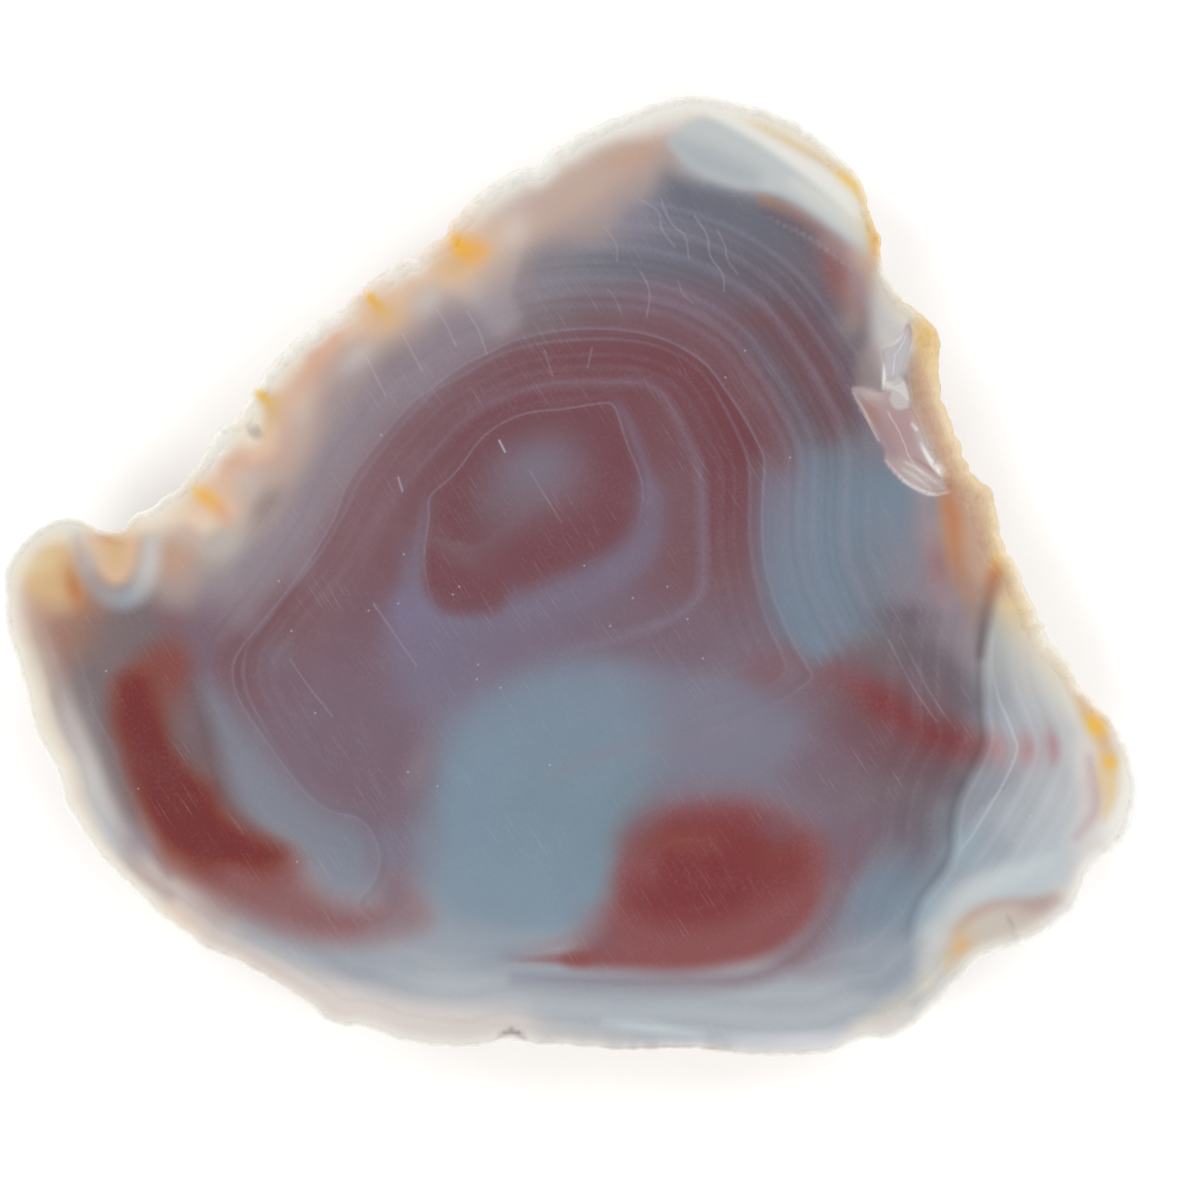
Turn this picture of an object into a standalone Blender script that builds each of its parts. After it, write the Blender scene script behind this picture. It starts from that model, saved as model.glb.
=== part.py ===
"""Half of an agate nodule, sawn through, polished, and lying face up on its rough domed back.

The stone is one solid. Its frame has +Z up out of the polished face, with the origin under the
middle of its box, on the surface that the stone rests on.
"""
import math

import bmesh
import bpy
from mathutils import Matrix, Vector, noise

MM = 0.001

# Overall sizes, in millimetres
THICKNESS = 31.0
RIM_DEPTH = 3.0
FLAT_SPOT = (12.5, 10.0)
FLAT_CENTRE = (1.2, -4.0)

# The widest outline, which runs clockwise, seen from above, from its left end. Each point is x, y
# and the width of rough skin that shows outside the polished face there.
RIM = (
    # left lobe
    (-40.4, -1.2, 0.6), (-39.9, 1.3, 0.6), (-38.2, 3.1, 0.6), (-36.4, 4.0, 0.6), (-34.8, 3.9, 0.5),
    # notch above the lobe
    (-33.4, 3.2, 0.4), (-32.2, 3.2, 0.4), (-31.5, 4.2, 0.6),
    # rough upper left slope
    (-29.9, 4.9, 0.8), (-28.4, 6.1, 1.0), (-27.2, 7.3, 1.2), (-26.3, 8.6, 1.4), (-25.5, 10.2, 1.6),
    (-23.6, 11.7, 1.5), (-22.4, 13.5, 1.3), (-21.4, 15.0, 1.3), (-19.6, 16.8, 1.3), (-18.1, 18.0, 1.3),
    (-15.8, 19.5, 1.4), (-14.9, 20.5, 1.5), (-13.5, 21.5, 1.4), (-11.7, 22.8, 1.4), (-9.5, 23.9, 1.5),
    (-8.6, 25.2, 1.5), (-7.2, 26.7, 1.5), (-5.6, 27.9, 1.4), (-3.8, 28.9, 1.3), (-2.4, 29.3, 1.2),
    (-1.4, 30.3, 1.2), (0.5, 31.4, 1.1),
    # crown
    (2.1, 32.2, 1.0), (4.9, 33.2, 0.8), (7.2, 34.0, 0.7), (9.0, 34.2, 0.7), (11.7, 33.7, 0.6),
    (14.2, 33.1, 0.6), (16.7, 31.9, 0.7), (18.6, 30.2, 0.8),
    # right shoulder
    (20.4, 28.5, 0.8), (21.1, 26.6, 0.7), (21.5, 25.1, 0.6), (22.1, 24.1, 0.6), (22.1, 22.4, 0.6),
    (23.0, 20.5, 0.7), (24.6, 18.8, 1.0),
    # stained right side, where the skin slopes away from the fracture scar
    (25.8, 17.9, 1.8), (26.4, 16.3, 2.2), (26.2, 14.0, 2.2), (26.8, 11.6, 2.2), (28.0, 9.1, 2.2),
    (28.6, 7.3, 2.0), (29.9, 6.2, 2.2), (30.4, 4.3, 2.0), (31.0, 2.2, 1.6), (32.0, 0.0, 1.3),
    (33.2, -2.6, 1.4), (34.4, -4.7, 1.5), (36.0, -7.2, 1.0), (37.3, -8.9, 0.7), (38.8, -10.6, 0.6),
    # right lobe
    (39.8, -12.6, 0.6), (40.4, -15.1, 0.7), (39.9, -17.9, 0.7), (38.6, -19.7, 0.6), (37.1, -20.8, 0.5),
    (36.6, -22.0, 0.5), (35.8, -23.8, 0.7),
    # lower right
    (33.9, -25.4, 0.8), (31.4, -26.6, 0.8), (29.4, -27.2, 0.6), (28.3, -28.2, 0.6), (26.6, -30.0, 0.7),
    (24.9, -31.6, 0.7), (22.9, -32.9, 0.6), (20.6, -33.0, 0.5), (19.1, -33.8, 0.5),
    # foot
    (16.4, -34.2, 0.4), (13.1, -34.2, 0.4), (10.1, -33.9, 0.4), (8.4, -33.7, 0.3), (3.5, -33.8, 0.3),
    (-0.1, -33.5, 0.3), (-2.9, -33.4, 0.3), (-4.1, -32.9, 0.3), (-5.2, -33.3, 0.3), (-7.8, -33.6, 0.3),
    (-10.8, -33.4, 0.4), (-12.8, -32.9, 0.4), (-14.7, -32.2, 0.4),
    # lower left
    (-16.9, -32.0, 0.4), (-18.4, -30.8, 0.4), (-20.1, -29.7, 0.4), (-22.1, -28.5, 0.4),
    (-24.0, -27.5, 0.4), (-26.1, -26.6, 0.5), (-27.8, -25.3, 0.5), (-29.4, -24.2, 0.5),
    (-31.0, -22.6, 0.5), (-33.1, -20.6, 0.5), (-34.8, -18.4, 0.5), (-36.1, -16.2, 0.5),
    (-36.7, -13.9, 0.5), (-38.1, -11.4, 0.5), (-38.7, -9.0, 0.5), (-39.3, -6.8, 0.5),
    (-40.1, -4.4, 0.5),
)

# How finely the stone is divided
SPAN_STEPS = 12
ROUND_COUNT = 180
DOME_RINGS = 19

# The dome is a turned arc that starts at this angle from straight down, at the flat spot's edge
DOME_START = math.radians(16.0)
DOME_FULLNESS = 0.9
# Below the widest section the outline loses its small steps, and then turns rounder
SMOOTH_REACH = 7
SMOOTH_BY = 0.3
SOFT_CENTRE = (0.6, -2.0)
SOFT_HALF = (37.0, 31.0)
SOFT_SHARE = 0.7

# Lumps and dimples of the skin
LUMP_SIZE = 13.0
LUMP_HEIGHT = 2.0
KNOB_SIZE = 5.2
KNOB_HEIGHT = 0.9
DIMPLE_SPACING = 9.0
DIMPLE_REACH = 0.45
DIMPLE_DEPTH = 1.0
# A lump reaches down no further than this share of its section's height
LOWEST_SHARE = 0.6

# Flakes broken from the right edge of the face: centre, half-sizes, turn about Z, tilt to the edge
SCARS = {
    "long_scar": ((23.75, 9.65, 0.85), (6.5, 2.35, 2.1), -50.0, 14.0),
    "upper_scar": ((23.45, 15.75, 0.55), (2.7, 1.55, 1.3), 66.0, -10.0),
    "scar_tip": ((25.6, 6.7, 0.45), (2.2, 1.25, 1.1), -30.0, 8.0),
}
SCAR_SEGMENTS = 40
SCAR_RINGS = 20

STONE_COLOUR = (0.235, 0.165, 0.185, 1.0)
STONE_ROUGHNESS = 0.3


def empty_file():
    """Remove the objects of the file that this runs in."""
    for thing in list(bpy.data.objects):
        bpy.data.objects.remove(thing, do_unlink=True)


def collection(name):
    """A new collection in the scene."""
    group = bpy.data.collections.new(name)
    bpy.context.scene.collection.children.link(group)
    return group


def smooth_loop(points, steps):
    """A closed Catmull-Rom curve through the points."""
    curve = []
    count = len(points)
    for index in range(count):
        before, start, end, after = (Vector(points[(index + k - 1) % count]) for k in range(4))
        for step in range(steps):
            t = step / steps
            curve.append(0.5 * (
                2.0 * start + (end - before) * t
                + (2.0 * before - 5.0 * start + 4.0 * end - after) * t ** 2
                + (3.0 * start - before - 3.0 * end + after) * t ** 3))
    return curve


def even_loop(curve, count):
    """The closed curve again, as points at equal distances along it."""
    lengths = [0.0]
    for index, point in enumerate(curve):
        step = (curve[(index + 1) % len(curve)] - point).xy.length
        lengths.append(lengths[-1] + step)
    points = []
    index = 0
    for number in range(count):
        reach = lengths[-1] * number / count
        while lengths[index + 1] < reach:
            index += 1
        share = (reach - lengths[index]) / (lengths[index + 1] - lengths[index])
        points.append(curve[index].lerp(curve[(index + 1) % len(curve)], share))
    return points


def face_loop(rim):
    """The edge of the polished face: the rim moved inward by the width of skin at each point."""
    count = len(rim)
    edge = []
    for index, point in enumerate(rim):
        ahead = rim[(index + 2) % count]
        behind = rim[(index - 2) % count]
        along = (ahead - behind).xy.normalized()
        inward = Vector((along.y, -along.x))
        edge.append(point.xy + inward * point.z)
    return edge


def skin_relief(place):
    """How far the skin stands out at a place, from its lumps, knobs and dimples."""
    lump = LUMP_HEIGHT * noise.noise(place / LUMP_SIZE)
    knob = KNOB_HEIGHT * noise.noise(place / KNOB_SIZE + Vector((7.3, 1.9, 4.1)))
    nearest = noise.voronoi(place / DIMPLE_SPACING)[0][0]
    dimple = DIMPLE_DEPTH * max(0.0, 1.0 - (nearest / DIMPLE_REACH) ** 2)
    return lump + knob - dimple


def without_steps(rim):
    """The rim with its small steps averaged away."""
    count = len(rim)
    reach = range(-SMOOTH_REACH, SMOOTH_REACH + 1)
    return [sum((rim[(index + k) % count] for k in reach), Vector((0.0, 0.0, 0.0))) / len(reach)
            for index in range(count)]


def on_ellipse(centre, half_widths, angle):
    """The point of an ellipse at an angle."""
    return Vector((centre[0] + half_widths[0] * math.cos(angle),
                   centre[1] + half_widths[1] * math.sin(angle)))


def dome_ring(rim, smooth_rim, turn):
    """One section of the rough back; turn is 0 at the flat spot and 1 at the widest section."""
    angle = DOME_START + (math.pi / 2.0 - DOME_START) * turn
    spread = (math.sin(angle) - math.sin(DOME_START)) / (1.0 - math.sin(DOME_START))
    spread = spread ** DOME_FULLNESS
    height = (THICKNESS - RIM_DEPTH) * (1.0 - math.cos(angle) / math.cos(DOME_START))
    centre = Vector((*FLAT_CENTRE, THICKNESS - RIM_DEPTH))
    smoothed = min(1.0, (1.0 - turn) / SMOOTH_BY)
    ring = []
    for point, smooth_point in zip(rim, smooth_rim):
        outer = point.xy.lerp(smooth_point.xy, smoothed)
        away = math.atan2((outer.y - centre.y) / SOFT_HALF[1], (outer.x - centre.x) / SOFT_HALF[0])
        flat_edge = on_ellipse(FLAT_CENTRE, FLAT_SPOT, away)
        outer = outer.lerp(on_ellipse(SOFT_CENTRE, SOFT_HALF, away), SOFT_SHARE * (1.0 - turn))
        place = flat_edge.lerp(outer, spread).to_3d()
        place.z = height
        if 0.0 < turn < 1.0:
            outward = (place - centre).normalized()
            place += outward * skin_relief(place) * math.sin(math.pi * turn) ** 0.7
            place.z = max(place.z, height * LOWEST_SHARE)
        ring.append(place)
    return ring


def stone_rings():
    """Every section of the stone, from the polished face down to the flat spot."""
    rim = even_loop(smooth_loop(RIM, SPAN_STEPS), ROUND_COUNT)
    smooth_rim = without_steps(rim)
    face = face_loop(rim)
    rings = [[Vector((*point, THICKNESS)) for point in face]]
    # the skin rolls over from the face to the widest section in a quarter round
    for roll in (math.radians(30.0), math.radians(60.0)):
        height = THICKNESS - RIM_DEPTH * (1.0 - math.cos(roll))
        rings.append([Vector((*point.lerp(outer.xy, math.sin(roll)), height))
                      for point, outer in zip(face, rim)])
    for number in range(DOME_RINGS + 1):
        rings.append(dome_ring(rim, smooth_rim, 1.0 - number / DOME_RINGS))
    return rings


def stone_mesh():
    """The closed solid: a loft through the sections, with the face and the flat spot as its ends."""
    build = bmesh.new()
    rows = [[build.verts.new(place * MM) for place in ring] for ring in stone_rings()]
    for upper, lower in zip(rows, rows[1:]):
        for index in range(ROUND_COUNT):
            after = (index + 1) % ROUND_COUNT
            build.faces.new((upper[index], upper[after], lower[after], lower[index]))
    build.faces.new(rows[0])
    build.faces.new(rows[-1])
    bmesh.ops.recalc_face_normals(build, faces=build.faces)
    mesh = bpy.data.meshes.new("agate_nodule")
    build.to_mesh(mesh)
    build.free()
    return mesh


def stone_material():
    """Polished agate."""
    material = bpy.data.materials.new("polished_agate")
    material.use_nodes = True
    shader = material.node_tree.nodes["Principled BSDF"]
    shader.inputs["Base Color"].default_value = STONE_COLOUR
    shader.inputs["Roughness"].default_value = STONE_ROUGHNESS
    shader.inputs["Metallic"].default_value = 0.0
    return material


def scar_cutter(name, centre, half_sizes, turn, tilt):
    """A smooth egg that takes one flake off the edge of the face."""
    build = bmesh.new()
    bmesh.ops.create_uvsphere(build, u_segments=SCAR_SEGMENTS, v_segments=SCAR_RINGS, radius=1.0)
    x, y, rise = centre
    place = Matrix.Translation(Vector((x, y, THICKNESS + rise)) * MM)
    turned = Matrix.Rotation(math.radians(turn), 4, "Z") @ Matrix.Rotation(math.radians(tilt), 4, "X")
    size = Matrix.Diagonal((*(half * MM for half in half_sizes), 1.0))
    build.transform(place @ turned @ size)
    mesh = bpy.data.meshes.new(name)
    build.to_mesh(mesh)
    build.free()
    cutter = bpy.data.objects.new(name, mesh)
    cutter.display_type = "WIRE"
    cutter.hide_render = True
    return cutter


def main():
    empty_file()
    stones = collection("agate")
    cutters = collection("cutters")

    stone = bpy.data.objects.new("agate_nodule", stone_mesh())
    stone.data.materials.append(stone_material())
    stones.objects.link(stone)

    for name, (centre, half_sizes, turn, tilt) in SCARS.items():
        cutter = scar_cutter(name, centre, half_sizes, turn, tilt)
        cutters.objects.link(cutter)
        cut = stone.modifiers.new(name, "BOOLEAN")
        cut.operation = "DIFFERENCE"
        cut.solver = "EXACT"
        cut.object = cutter


main()
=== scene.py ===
"""The looks of half an agate nodule: its banded polished face, its fracture scar and its rough skin.

Sizes are in millimetres until the mesh is made. The frame has +Z up out of the polished face, with
its origin under the middle of the stone.
"""

import math

import bpy
import numpy as np
from mathutils import Matrix, Vector, noise
from mathutils.geometry import delaunay_2d_cdt


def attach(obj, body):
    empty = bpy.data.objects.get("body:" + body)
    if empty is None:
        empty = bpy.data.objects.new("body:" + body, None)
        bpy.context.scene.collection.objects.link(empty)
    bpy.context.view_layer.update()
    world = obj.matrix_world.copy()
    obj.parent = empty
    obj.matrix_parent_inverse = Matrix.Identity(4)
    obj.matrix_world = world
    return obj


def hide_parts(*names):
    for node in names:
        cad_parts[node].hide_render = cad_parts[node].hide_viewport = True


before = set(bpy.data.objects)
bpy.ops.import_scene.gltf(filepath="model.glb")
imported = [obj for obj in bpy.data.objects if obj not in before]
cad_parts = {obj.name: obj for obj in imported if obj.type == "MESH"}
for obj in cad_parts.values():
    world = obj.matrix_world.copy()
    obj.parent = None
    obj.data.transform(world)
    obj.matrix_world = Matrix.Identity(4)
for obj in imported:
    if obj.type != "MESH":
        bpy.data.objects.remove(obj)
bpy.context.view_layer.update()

MM = 0.001
NODE = "agate_nodule"

# The stone's form, which the solid has too, and the flat spot that it lies on: half sizes and centre
THICKNESS = 31.0
RIM_DEPTH = 3.0
RIM_HEIGHT = THICKNESS - RIM_DEPTH
FLAT_SPOT = (12.5, 10.0)
FLAT_CENTRE = (1.2, -4.0)

# The dome's profile: its slope at the flat spot, a power under 1 that fills it out, and how its lumps
# swell towards the middle of its height
DOME_START = math.radians(16.0)
DOME_FULLNESS = 0.9
SWELL_POWER = 0.7

# The outline's small waves die out downwards: averaged over this reach, within this share of the dome
SMOOTH_REACH = 10.3
SMOOTH_BY = 0.3

# The oval that the dome's sections come close to near the flat spot, and how close
SOFT_CENTRE = (0.6, -2.0)
SOFT_HALF = (37.0, 31.0)
SOFT_SHARE = 0.7

# Lumps, knobs and dimples of the back, and the share of its height that they may not take away
LUMP_SIZE = 13.0
LUMP_HEIGHT = 2.0
KNOB_SIZE = 5.2
KNOB_HEIGHT = 0.9
KNOB_SHIFT = Vector((7.3, 1.9, 4.1))
DIMPLE_SPACING = 9.0
DIMPLE_REACH = 0.45
DIMPLE_DEPTH = 1.0
LOWEST_SHARE = 0.6

# Flakes broken from the right edge of the face: centre with its height over the face, half sizes,
# turn about Z and tilt about the flake's own length
SCARS = {
    "long_scar": ((23.75, 9.65, 0.85), (6.5, 2.35, 2.1), -50.0, 14.0),
    "upper_scar": ((23.45, 15.75, 0.55), (2.7, 1.55, 1.3), 66.0, -10.0),
    "scar_tip": ((25.6, 6.7, 0.45), (2.2, 1.25, 1.1), -30.0, 8.0),
}
# The line where the scars break the face, clockwise from their upper left tip. It is drawn with points
# this far apart, and the scars drop from it at this slope.
SCAR_EDGE = (
    (20.0, 13.3), (20.8, 13.4), (21.6, 13.1), (22.3, 13.1), (22.3, 13.8), (22.3, 15.0), (22.15, 16.1),
    (22.9, 16.6), (23.6, 17.4), (24.0, 18.1), (24.3, 17.4), (24.2, 16.4), (23.8, 15.2), (23.5, 14.2),
    (23.9, 13.5), (24.1, 12.8), (24.1, 12.1), (24.5, 11.6), (24.85, 10.8), (25.1, 10.0), (25.5, 9.1),
    (25.9, 8.3), (26.1, 7.4), (26.5, 6.6), (26.9, 5.9), (26.2, 6.0), (25.7, 5.7), (25.1, 5.85),
    (24.2, 6.35), (23.4, 6.9), (22.9, 7.5), (22.35, 8.0), (22.4, 8.8), (22.1, 9.3), (21.7, 10.0),
    (21.4, 10.5), (21.1, 11.2), (20.6, 11.8), (20.3, 12.6),
)
SCAR_EDGE_STEP = 0.15
SCAR_EDGE_SLOPE = 0.6

# How finely the stone is divided: points round each ring, and spacing on the face and in the scars
ROUND_COUNT = 1080
FACE_SPACING = 0.33
CHIP_SPACING = 0.15
CHIP_BOX = ((19.7, 5.2), (27.6, 18.7))

# How far the points of the face stay from its edge and from each scratch, and when two are the same
RING_CLEARANCE = 0.16
SCRATCH_CLEARANCE = 0.17
SAME_PLACE = 1e-6

# Corners of the solid this close to the rim's height are its rim, and one where they agree to so many
# digits
SAME_LEVEL = 0.01
LEVEL_DIGITS = 3

# Length of the steps along a drawn line, a vein of the ground and the rim
PATH_STEP = 0.5
VEIN_STEP = 1.0
RIM_STEP = 0.2

# The skin rolls over from upright at the rim to level at the face's edge, by a ring at each of these
# angles. It turns upright at a depth of this many of its widths below the face.
ROLL_ANGLES = (0.0, 18.0, 36.0, 54.0, 72.0)
ROLL_RATIO = 1.1

# Rings below the skin: the upright wall down to the rim's depth, and the dome
WALL_RINGS = 3
DOME_RINGS = 36

# Corners are numbered from the rim inwards: the skin's rings, the face's edge and the scars' edge
FACE_EDGE = ROUND_COUNT * len(ROLL_ANGLES)
SCAR_START = FACE_EDGE + ROUND_COUNT

# The flat facets of the scars' floors: a point, its lift and its two slopes. They fade with distance
# and near the scars' edge.
FACETS = (
    (21.2, 12.4, 0.05, 0.10, -0.06), (22.2, 10.4, 0.02, -0.08, 0.05), (23.4, 9.0, 0.00, 0.07, 0.10),
    (23.2, 7.8, 0.03, -0.14, -0.06), (24.6, 7.2, 0.04, 0.10, -0.12), (25.2, 8.4, 0.05, 0.16, 0.06),
    (26.1, 6.6, 0.06, -0.12, 0.12), (24.2, 10.8, 0.03, 0.12, 0.02), (23.4, 13.0, 0.10, -0.16, 0.10),
    (22.5, 13.5, 0.06, 0.22, -0.10), (23.0, 15.2, 0.02, 0.08, 0.06), (23.9, 16.8, 0.05, -0.14, -0.05),
)
FACET_FADE = 0.14
FACET_REACH = 0.35

# Width of the rough skin that shows outside the polished face, at points clockwise round the rim
SKIN_WIDTHS = (
    (-40.4, -1.2, 0.6), (-34.8, 3.9, 0.5), (-31.5, 4.2, 0.6), (-28.4, 6.1, 0.8), (-25.5, 10.2, 1.3),
    (-21.4, 15.0, 1.0), (-14.9, 20.5, 1.2), (-7.2, 26.7, 1.2), (0.5, 31.4, 1.0), (7.2, 34.0, 0.7),
    (20.4, 28.5, 0.8), (22.1, 22.4, 0.6), (24.6, 18.8, 1.0), (26.4, 16.3, 2.2), (30.4, 4.3, 2.0),
    (32.0, 0.0, 1.3), (34.4, -4.7, 1.5), (38.8, -10.6, 0.6), (39.9, -17.9, 0.7), (36.6, -22.0, 0.5),
    (31.4, -26.6, 0.8), (24.9, -31.6, 0.7), (16.4, -34.2, 0.4), (3.5, -33.8, 0.3), (-14.7, -32.2, 0.4),
    (-31.0, -22.6, 0.5), (-38.7, -9.0, 0.5),
)

# The dome draws in from the rim by at least this much with each section, so that none stands out. The
# limit gets this soft, in full from this far below the rim.
DRAW_IN = 0.012
DRAW_SOFT = 0.8
DRAW_SOFT_BY = 5.0

# Pits of the back, as depth and size, full this far from the rim and from the surface below
WALL_PITS = ((1.3, 4.2), (0.7, 1.5), (0.3, 0.7))
PITS_FULL_BY = 1.5

# Grain of the crust, as height and size, on skin of this width. Narrower skin has less, down to a
# least share, and what stands out of the outline is cut back by a share.
CRUST_GRAINS = ((0.3, 1.2), (0.22, 0.55))
CRUST_WIDTH = 1.2
CRUST_LEAST = 0.35
CRUST_CUT = 0.5

# Share of the grain on each ring of the skin, from the rim inwards, and how much finer it is there
CRUST_SHARES = (1.0, 1.0, 1.0, 0.7, 0.35)
CRUST_FINER = 1.3

# Colours of the stone, as they look in daylight: red, green and blue from 0 to 255
COLOURS = {
    # deep colours of the basin
    "garnet": (119, 74, 79), "maroon": (121, 80, 86), "plum": (124, 92, 98), "heather": (131, 100, 107),
    "mauve": (124, 105, 117), "mauve_grey": (143, 131, 140), "lilac": (125, 117, 136),
    "periwinkle": (129, 121, 146), "lilac_grey": (129, 127, 143),
    # greys and blues
    "slate": (111, 112, 123), "slate_blue": (120, 124, 134), "dusk": (108, 97, 106),
    "umber": (122, 110, 113), "teal": (122, 136, 151), "pool": (128, 146, 161),
    "pool_deep": (122, 139, 150), "pool_pale": (138, 151, 164), "fog": (155, 161, 170),
    "pale_fog": (174, 180, 186), "ice": (198, 207, 211),
    # reds
    "brick": (119, 52, 44), "soft_brick": (136, 80, 74), "blood": (128, 65, 68), "rose": (140, 84, 85),
    "dusty_rose": (148, 105, 109), "pink": (178, 145, 148), "clay": (160, 121, 106),
    # the stained outer bands
    "haze": (168, 152, 148), "rose_haze": (193, 169, 157), "sage": (178, 180, 174),
    "peach": (224, 190, 163), "salmon": (214, 168, 146), "cream": (235, 224, 205),
    "straw": (222, 198, 156), "bone": (222, 211, 205), "chalk": (243, 241, 236),
    "crust": (234, 232, 225), "buff": (226, 223, 212), "mist": (199, 195, 192), "tan": (192, 158, 138),
    "ochre": (212, 178, 136), "rust": (187, 128, 87), "amber": (235, 170, 80), "gold": (240, 182, 60),
    "lens_grey": (192, 196, 196), "glass": (184, 160, 160), "orange": (188, 118, 88),
    "dun": (203, 191, 178), "tongue": (130, 138, 151), "window": (186, 189, 192),
    "veil": (214, 214, 222), "lilac_veil": (132, 128, 150), "shade": (62, 44, 50),
    "wine": (119, 86, 91), "dark_umber": (108, 86, 88), "faded_rose": (140, 96, 98),
    "sand": (213, 186, 156), "fawn": (188, 152, 128), "steel": (160, 178, 188),
}

# Small stains and cloudy places: colour, strength, place, half sizes and slant
STAINS = (
    ("cream", 0.5, -39.2, 1.0, 1.0, 0.9), ("mauve_grey", 0.7, -31.0, -18.9, 0.8, 1.4, 30),
    ("haze", 0.4, -34.5, 0.8, 0.7, 0.9), ("mist", 0.3, -37.6, -5.5, 0.9, 1.4),
    ("peach", 0.3, -27.9, -24.8, 1.6, 0.8, -40), ("clay", 0.4, -28.0, -20.4, 1.0, 0.7, -40),
    ("brick", 0.6, -28.7, -15.6, 1.2, 2.8, 30), ("dark_umber", 0.5, -27.4, -12.2, 0.9, 1.8, 25),
    ("maroon", 0.45, -30.6, -14, 0.8, 2, 25), ("brick", 0.5, -25.4, -19.2, 1.6, 0.9, -30),
    ("dusty_rose", 0.5, -23.8, -21.4, 1.8, 0.8, -25), ("lilac_grey", 0.7, -13.1, -19.6, 1.0, 1.5),
    ("mauve", 0.5, -12.6, -22.6, 0.8, 1.2), ("mauve_grey", 0.5, -12.4, -24.8, 1.2, 0.8),
    ("mist", 0.4, -23.1, 6.7, 0.9, 0.9), ("rose_haze", 0.7, -19.3, 9.7, 0.9, 1.8, -30),
    ("mist", 0.35, -7.3, 20.1, 1.0, 1.0), ("lilac", 0.6, -11.6, 0.4, 0.6, 1.6),
    ("mauve_grey", 0.5, -23.4, -3.0, 1.0, 1.0), ("lilac_grey", 0.4, -20.8, -5.9, 1.2, 1.6, -30),
    ("straw", 0.3, 21.0, 25.2, 0.8, 1.2), ("ochre", 0.35, 21.6, 22.8, 0.6, 1.0),
    ("haze", 0.5, 18.5, 23.7, 1.0, 0.6, -35), ("haze", 0.5, 19.9, 17.9, 0.9, 1.2),
    ("dun", 0.55, 23.1, 19.7, 0.8, 1.2, 35), ("mauve", 0.4, 19.6, -6.8, 1.2, 0.8),
    ("lilac_grey", 0.35, 9.0, -15.2, 4.0, 0.8), ("mauve", 0.5, 5.0, -18.2, 1.0, 1.2),
    ("dusty_rose", 0.4, 5.0, -20.8, 1.2, 1.4), ("soft_brick", 0.6, 8.0, -18.8, 2.6, 0.8),
    ("soft_brick", 0.5, 14.4, -20.2, 1.4, 1.4), ("mauve", 0.35, 2.2, -26.0, 1.2, 0.8),
    ("mauve_grey", 0.5, 1.2, -24.4, 0.9, 1.0), ("pool_pale", 0.6, -4.6, -26.9, 1.8, 0.6),
    ("umber", 0.25, 29.6, -2.6, 0.7, 1.2), ("straw", 0.3, 31.9, -3.5, 0.7, 1.0),
    ("steel", 0.7, 28.1, -19.3, 1.0, 1.6, -35), ("steel", 0.6, 25.8, -23.5, 0.9, 1.4, -25),
    ("mist", 0.5, 26.6, -26.1, 0.9, 0.9), ("veil", 0.75, 17.0, -33.2, 3.2, 0.6),
    ("umber", 0.6, -0.8, 30.7, 0.16, 0.16), ("cream", 0.5, -39.4, 1.4, 0.8, 0.8),
    ("sand", 0.6, 29.3, 5.4, 0.8, 1.6, 25), ("lilac_grey", 0.5, -10.8, -19.0, 1.2, 1.6),
    ("veil", 0.5, 12.6, -33.2, 1.6, 0.5), ("buff", 0.5, -27.4, 6.6, 1.4, 0.8, 50),
    ("buff", 0.5, 35.8, -22.6, 1.0, 0.7), ("ice", 0.5, 26.1, -25.7, 0.7, 0.8),
    ("mauve_grey", 0.3, -13.9, -25.5, 1.0, 0.6), ("mist", 0.3, -19.1, 11.4, 0.7, 1.2, -30),
    ("mist", 0.4, -34.4, 1.0, 0.6, 0.9), ("cream", 0.5, -22.2, 13.8, 0.8, 0.5, 50),
    ("brick", 0.6, -29.0, -14.6, 0.8, 1.8, 30), ("cream", 0.45, -27.8, 6.2, 0.8, 0.6, 50),
    ("pool_pale", 0.4, -10.2, -19.0, 1.0, 1.6), ("peach", 0.35, -28.0, -24.9, 1.2, 0.6, -40),
    ("buff", 0.5, -26.2, 7.8, 1.0, 0.6, 50), ("mauve_grey", 0.6, -19.0, 0.7, 0.7, 1.2, -30),
    ("mauve", 0.4, 14.6, -18.2, 1.2, 0.8, -20), ("soft_brick", 0.5, 8.0, -19.0, 2.0, 0.8),
    ("dun", 0.4, 38.8, -12.6, 0.5, 0.7), ("rose", 0.35, 26.2, 0.8, 0.8, 1.4),
    ("mauve_grey", 0.5, -10.9, -13.8, 0.8, 1.6, -20), ("clay", 0.5, 28.3, -1.2, 0.6, 2.0, 10),
    ("soft_brick", 0.5, -28.4, -6.6, 0.9, 1.2), ("umber", 0.45, -28.0, -10.6, 0.8, 2.0, 15),
    ("umber", 0.5, -0.2, 31.0, 0.14, 0.14), ("umber", 0.6, 1.0, 31.5, 0.2, 0.14),
    ("umber", 0.5, -10.4, 23.0, 0.15, 0.15),
)

# How far a vein's colour spreads, and how fast it gives way to a nearer vein's
VEIN_SPREAD = 1.3
VEIN_POWER = 1.6

# A streak thinner than this grows fainter. A spot's glow falls off this fast and ends at this share.
THIN_STREAK = 0.1
SPOT_FALL = 0.7
SPOT_END = 0.004

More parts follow.
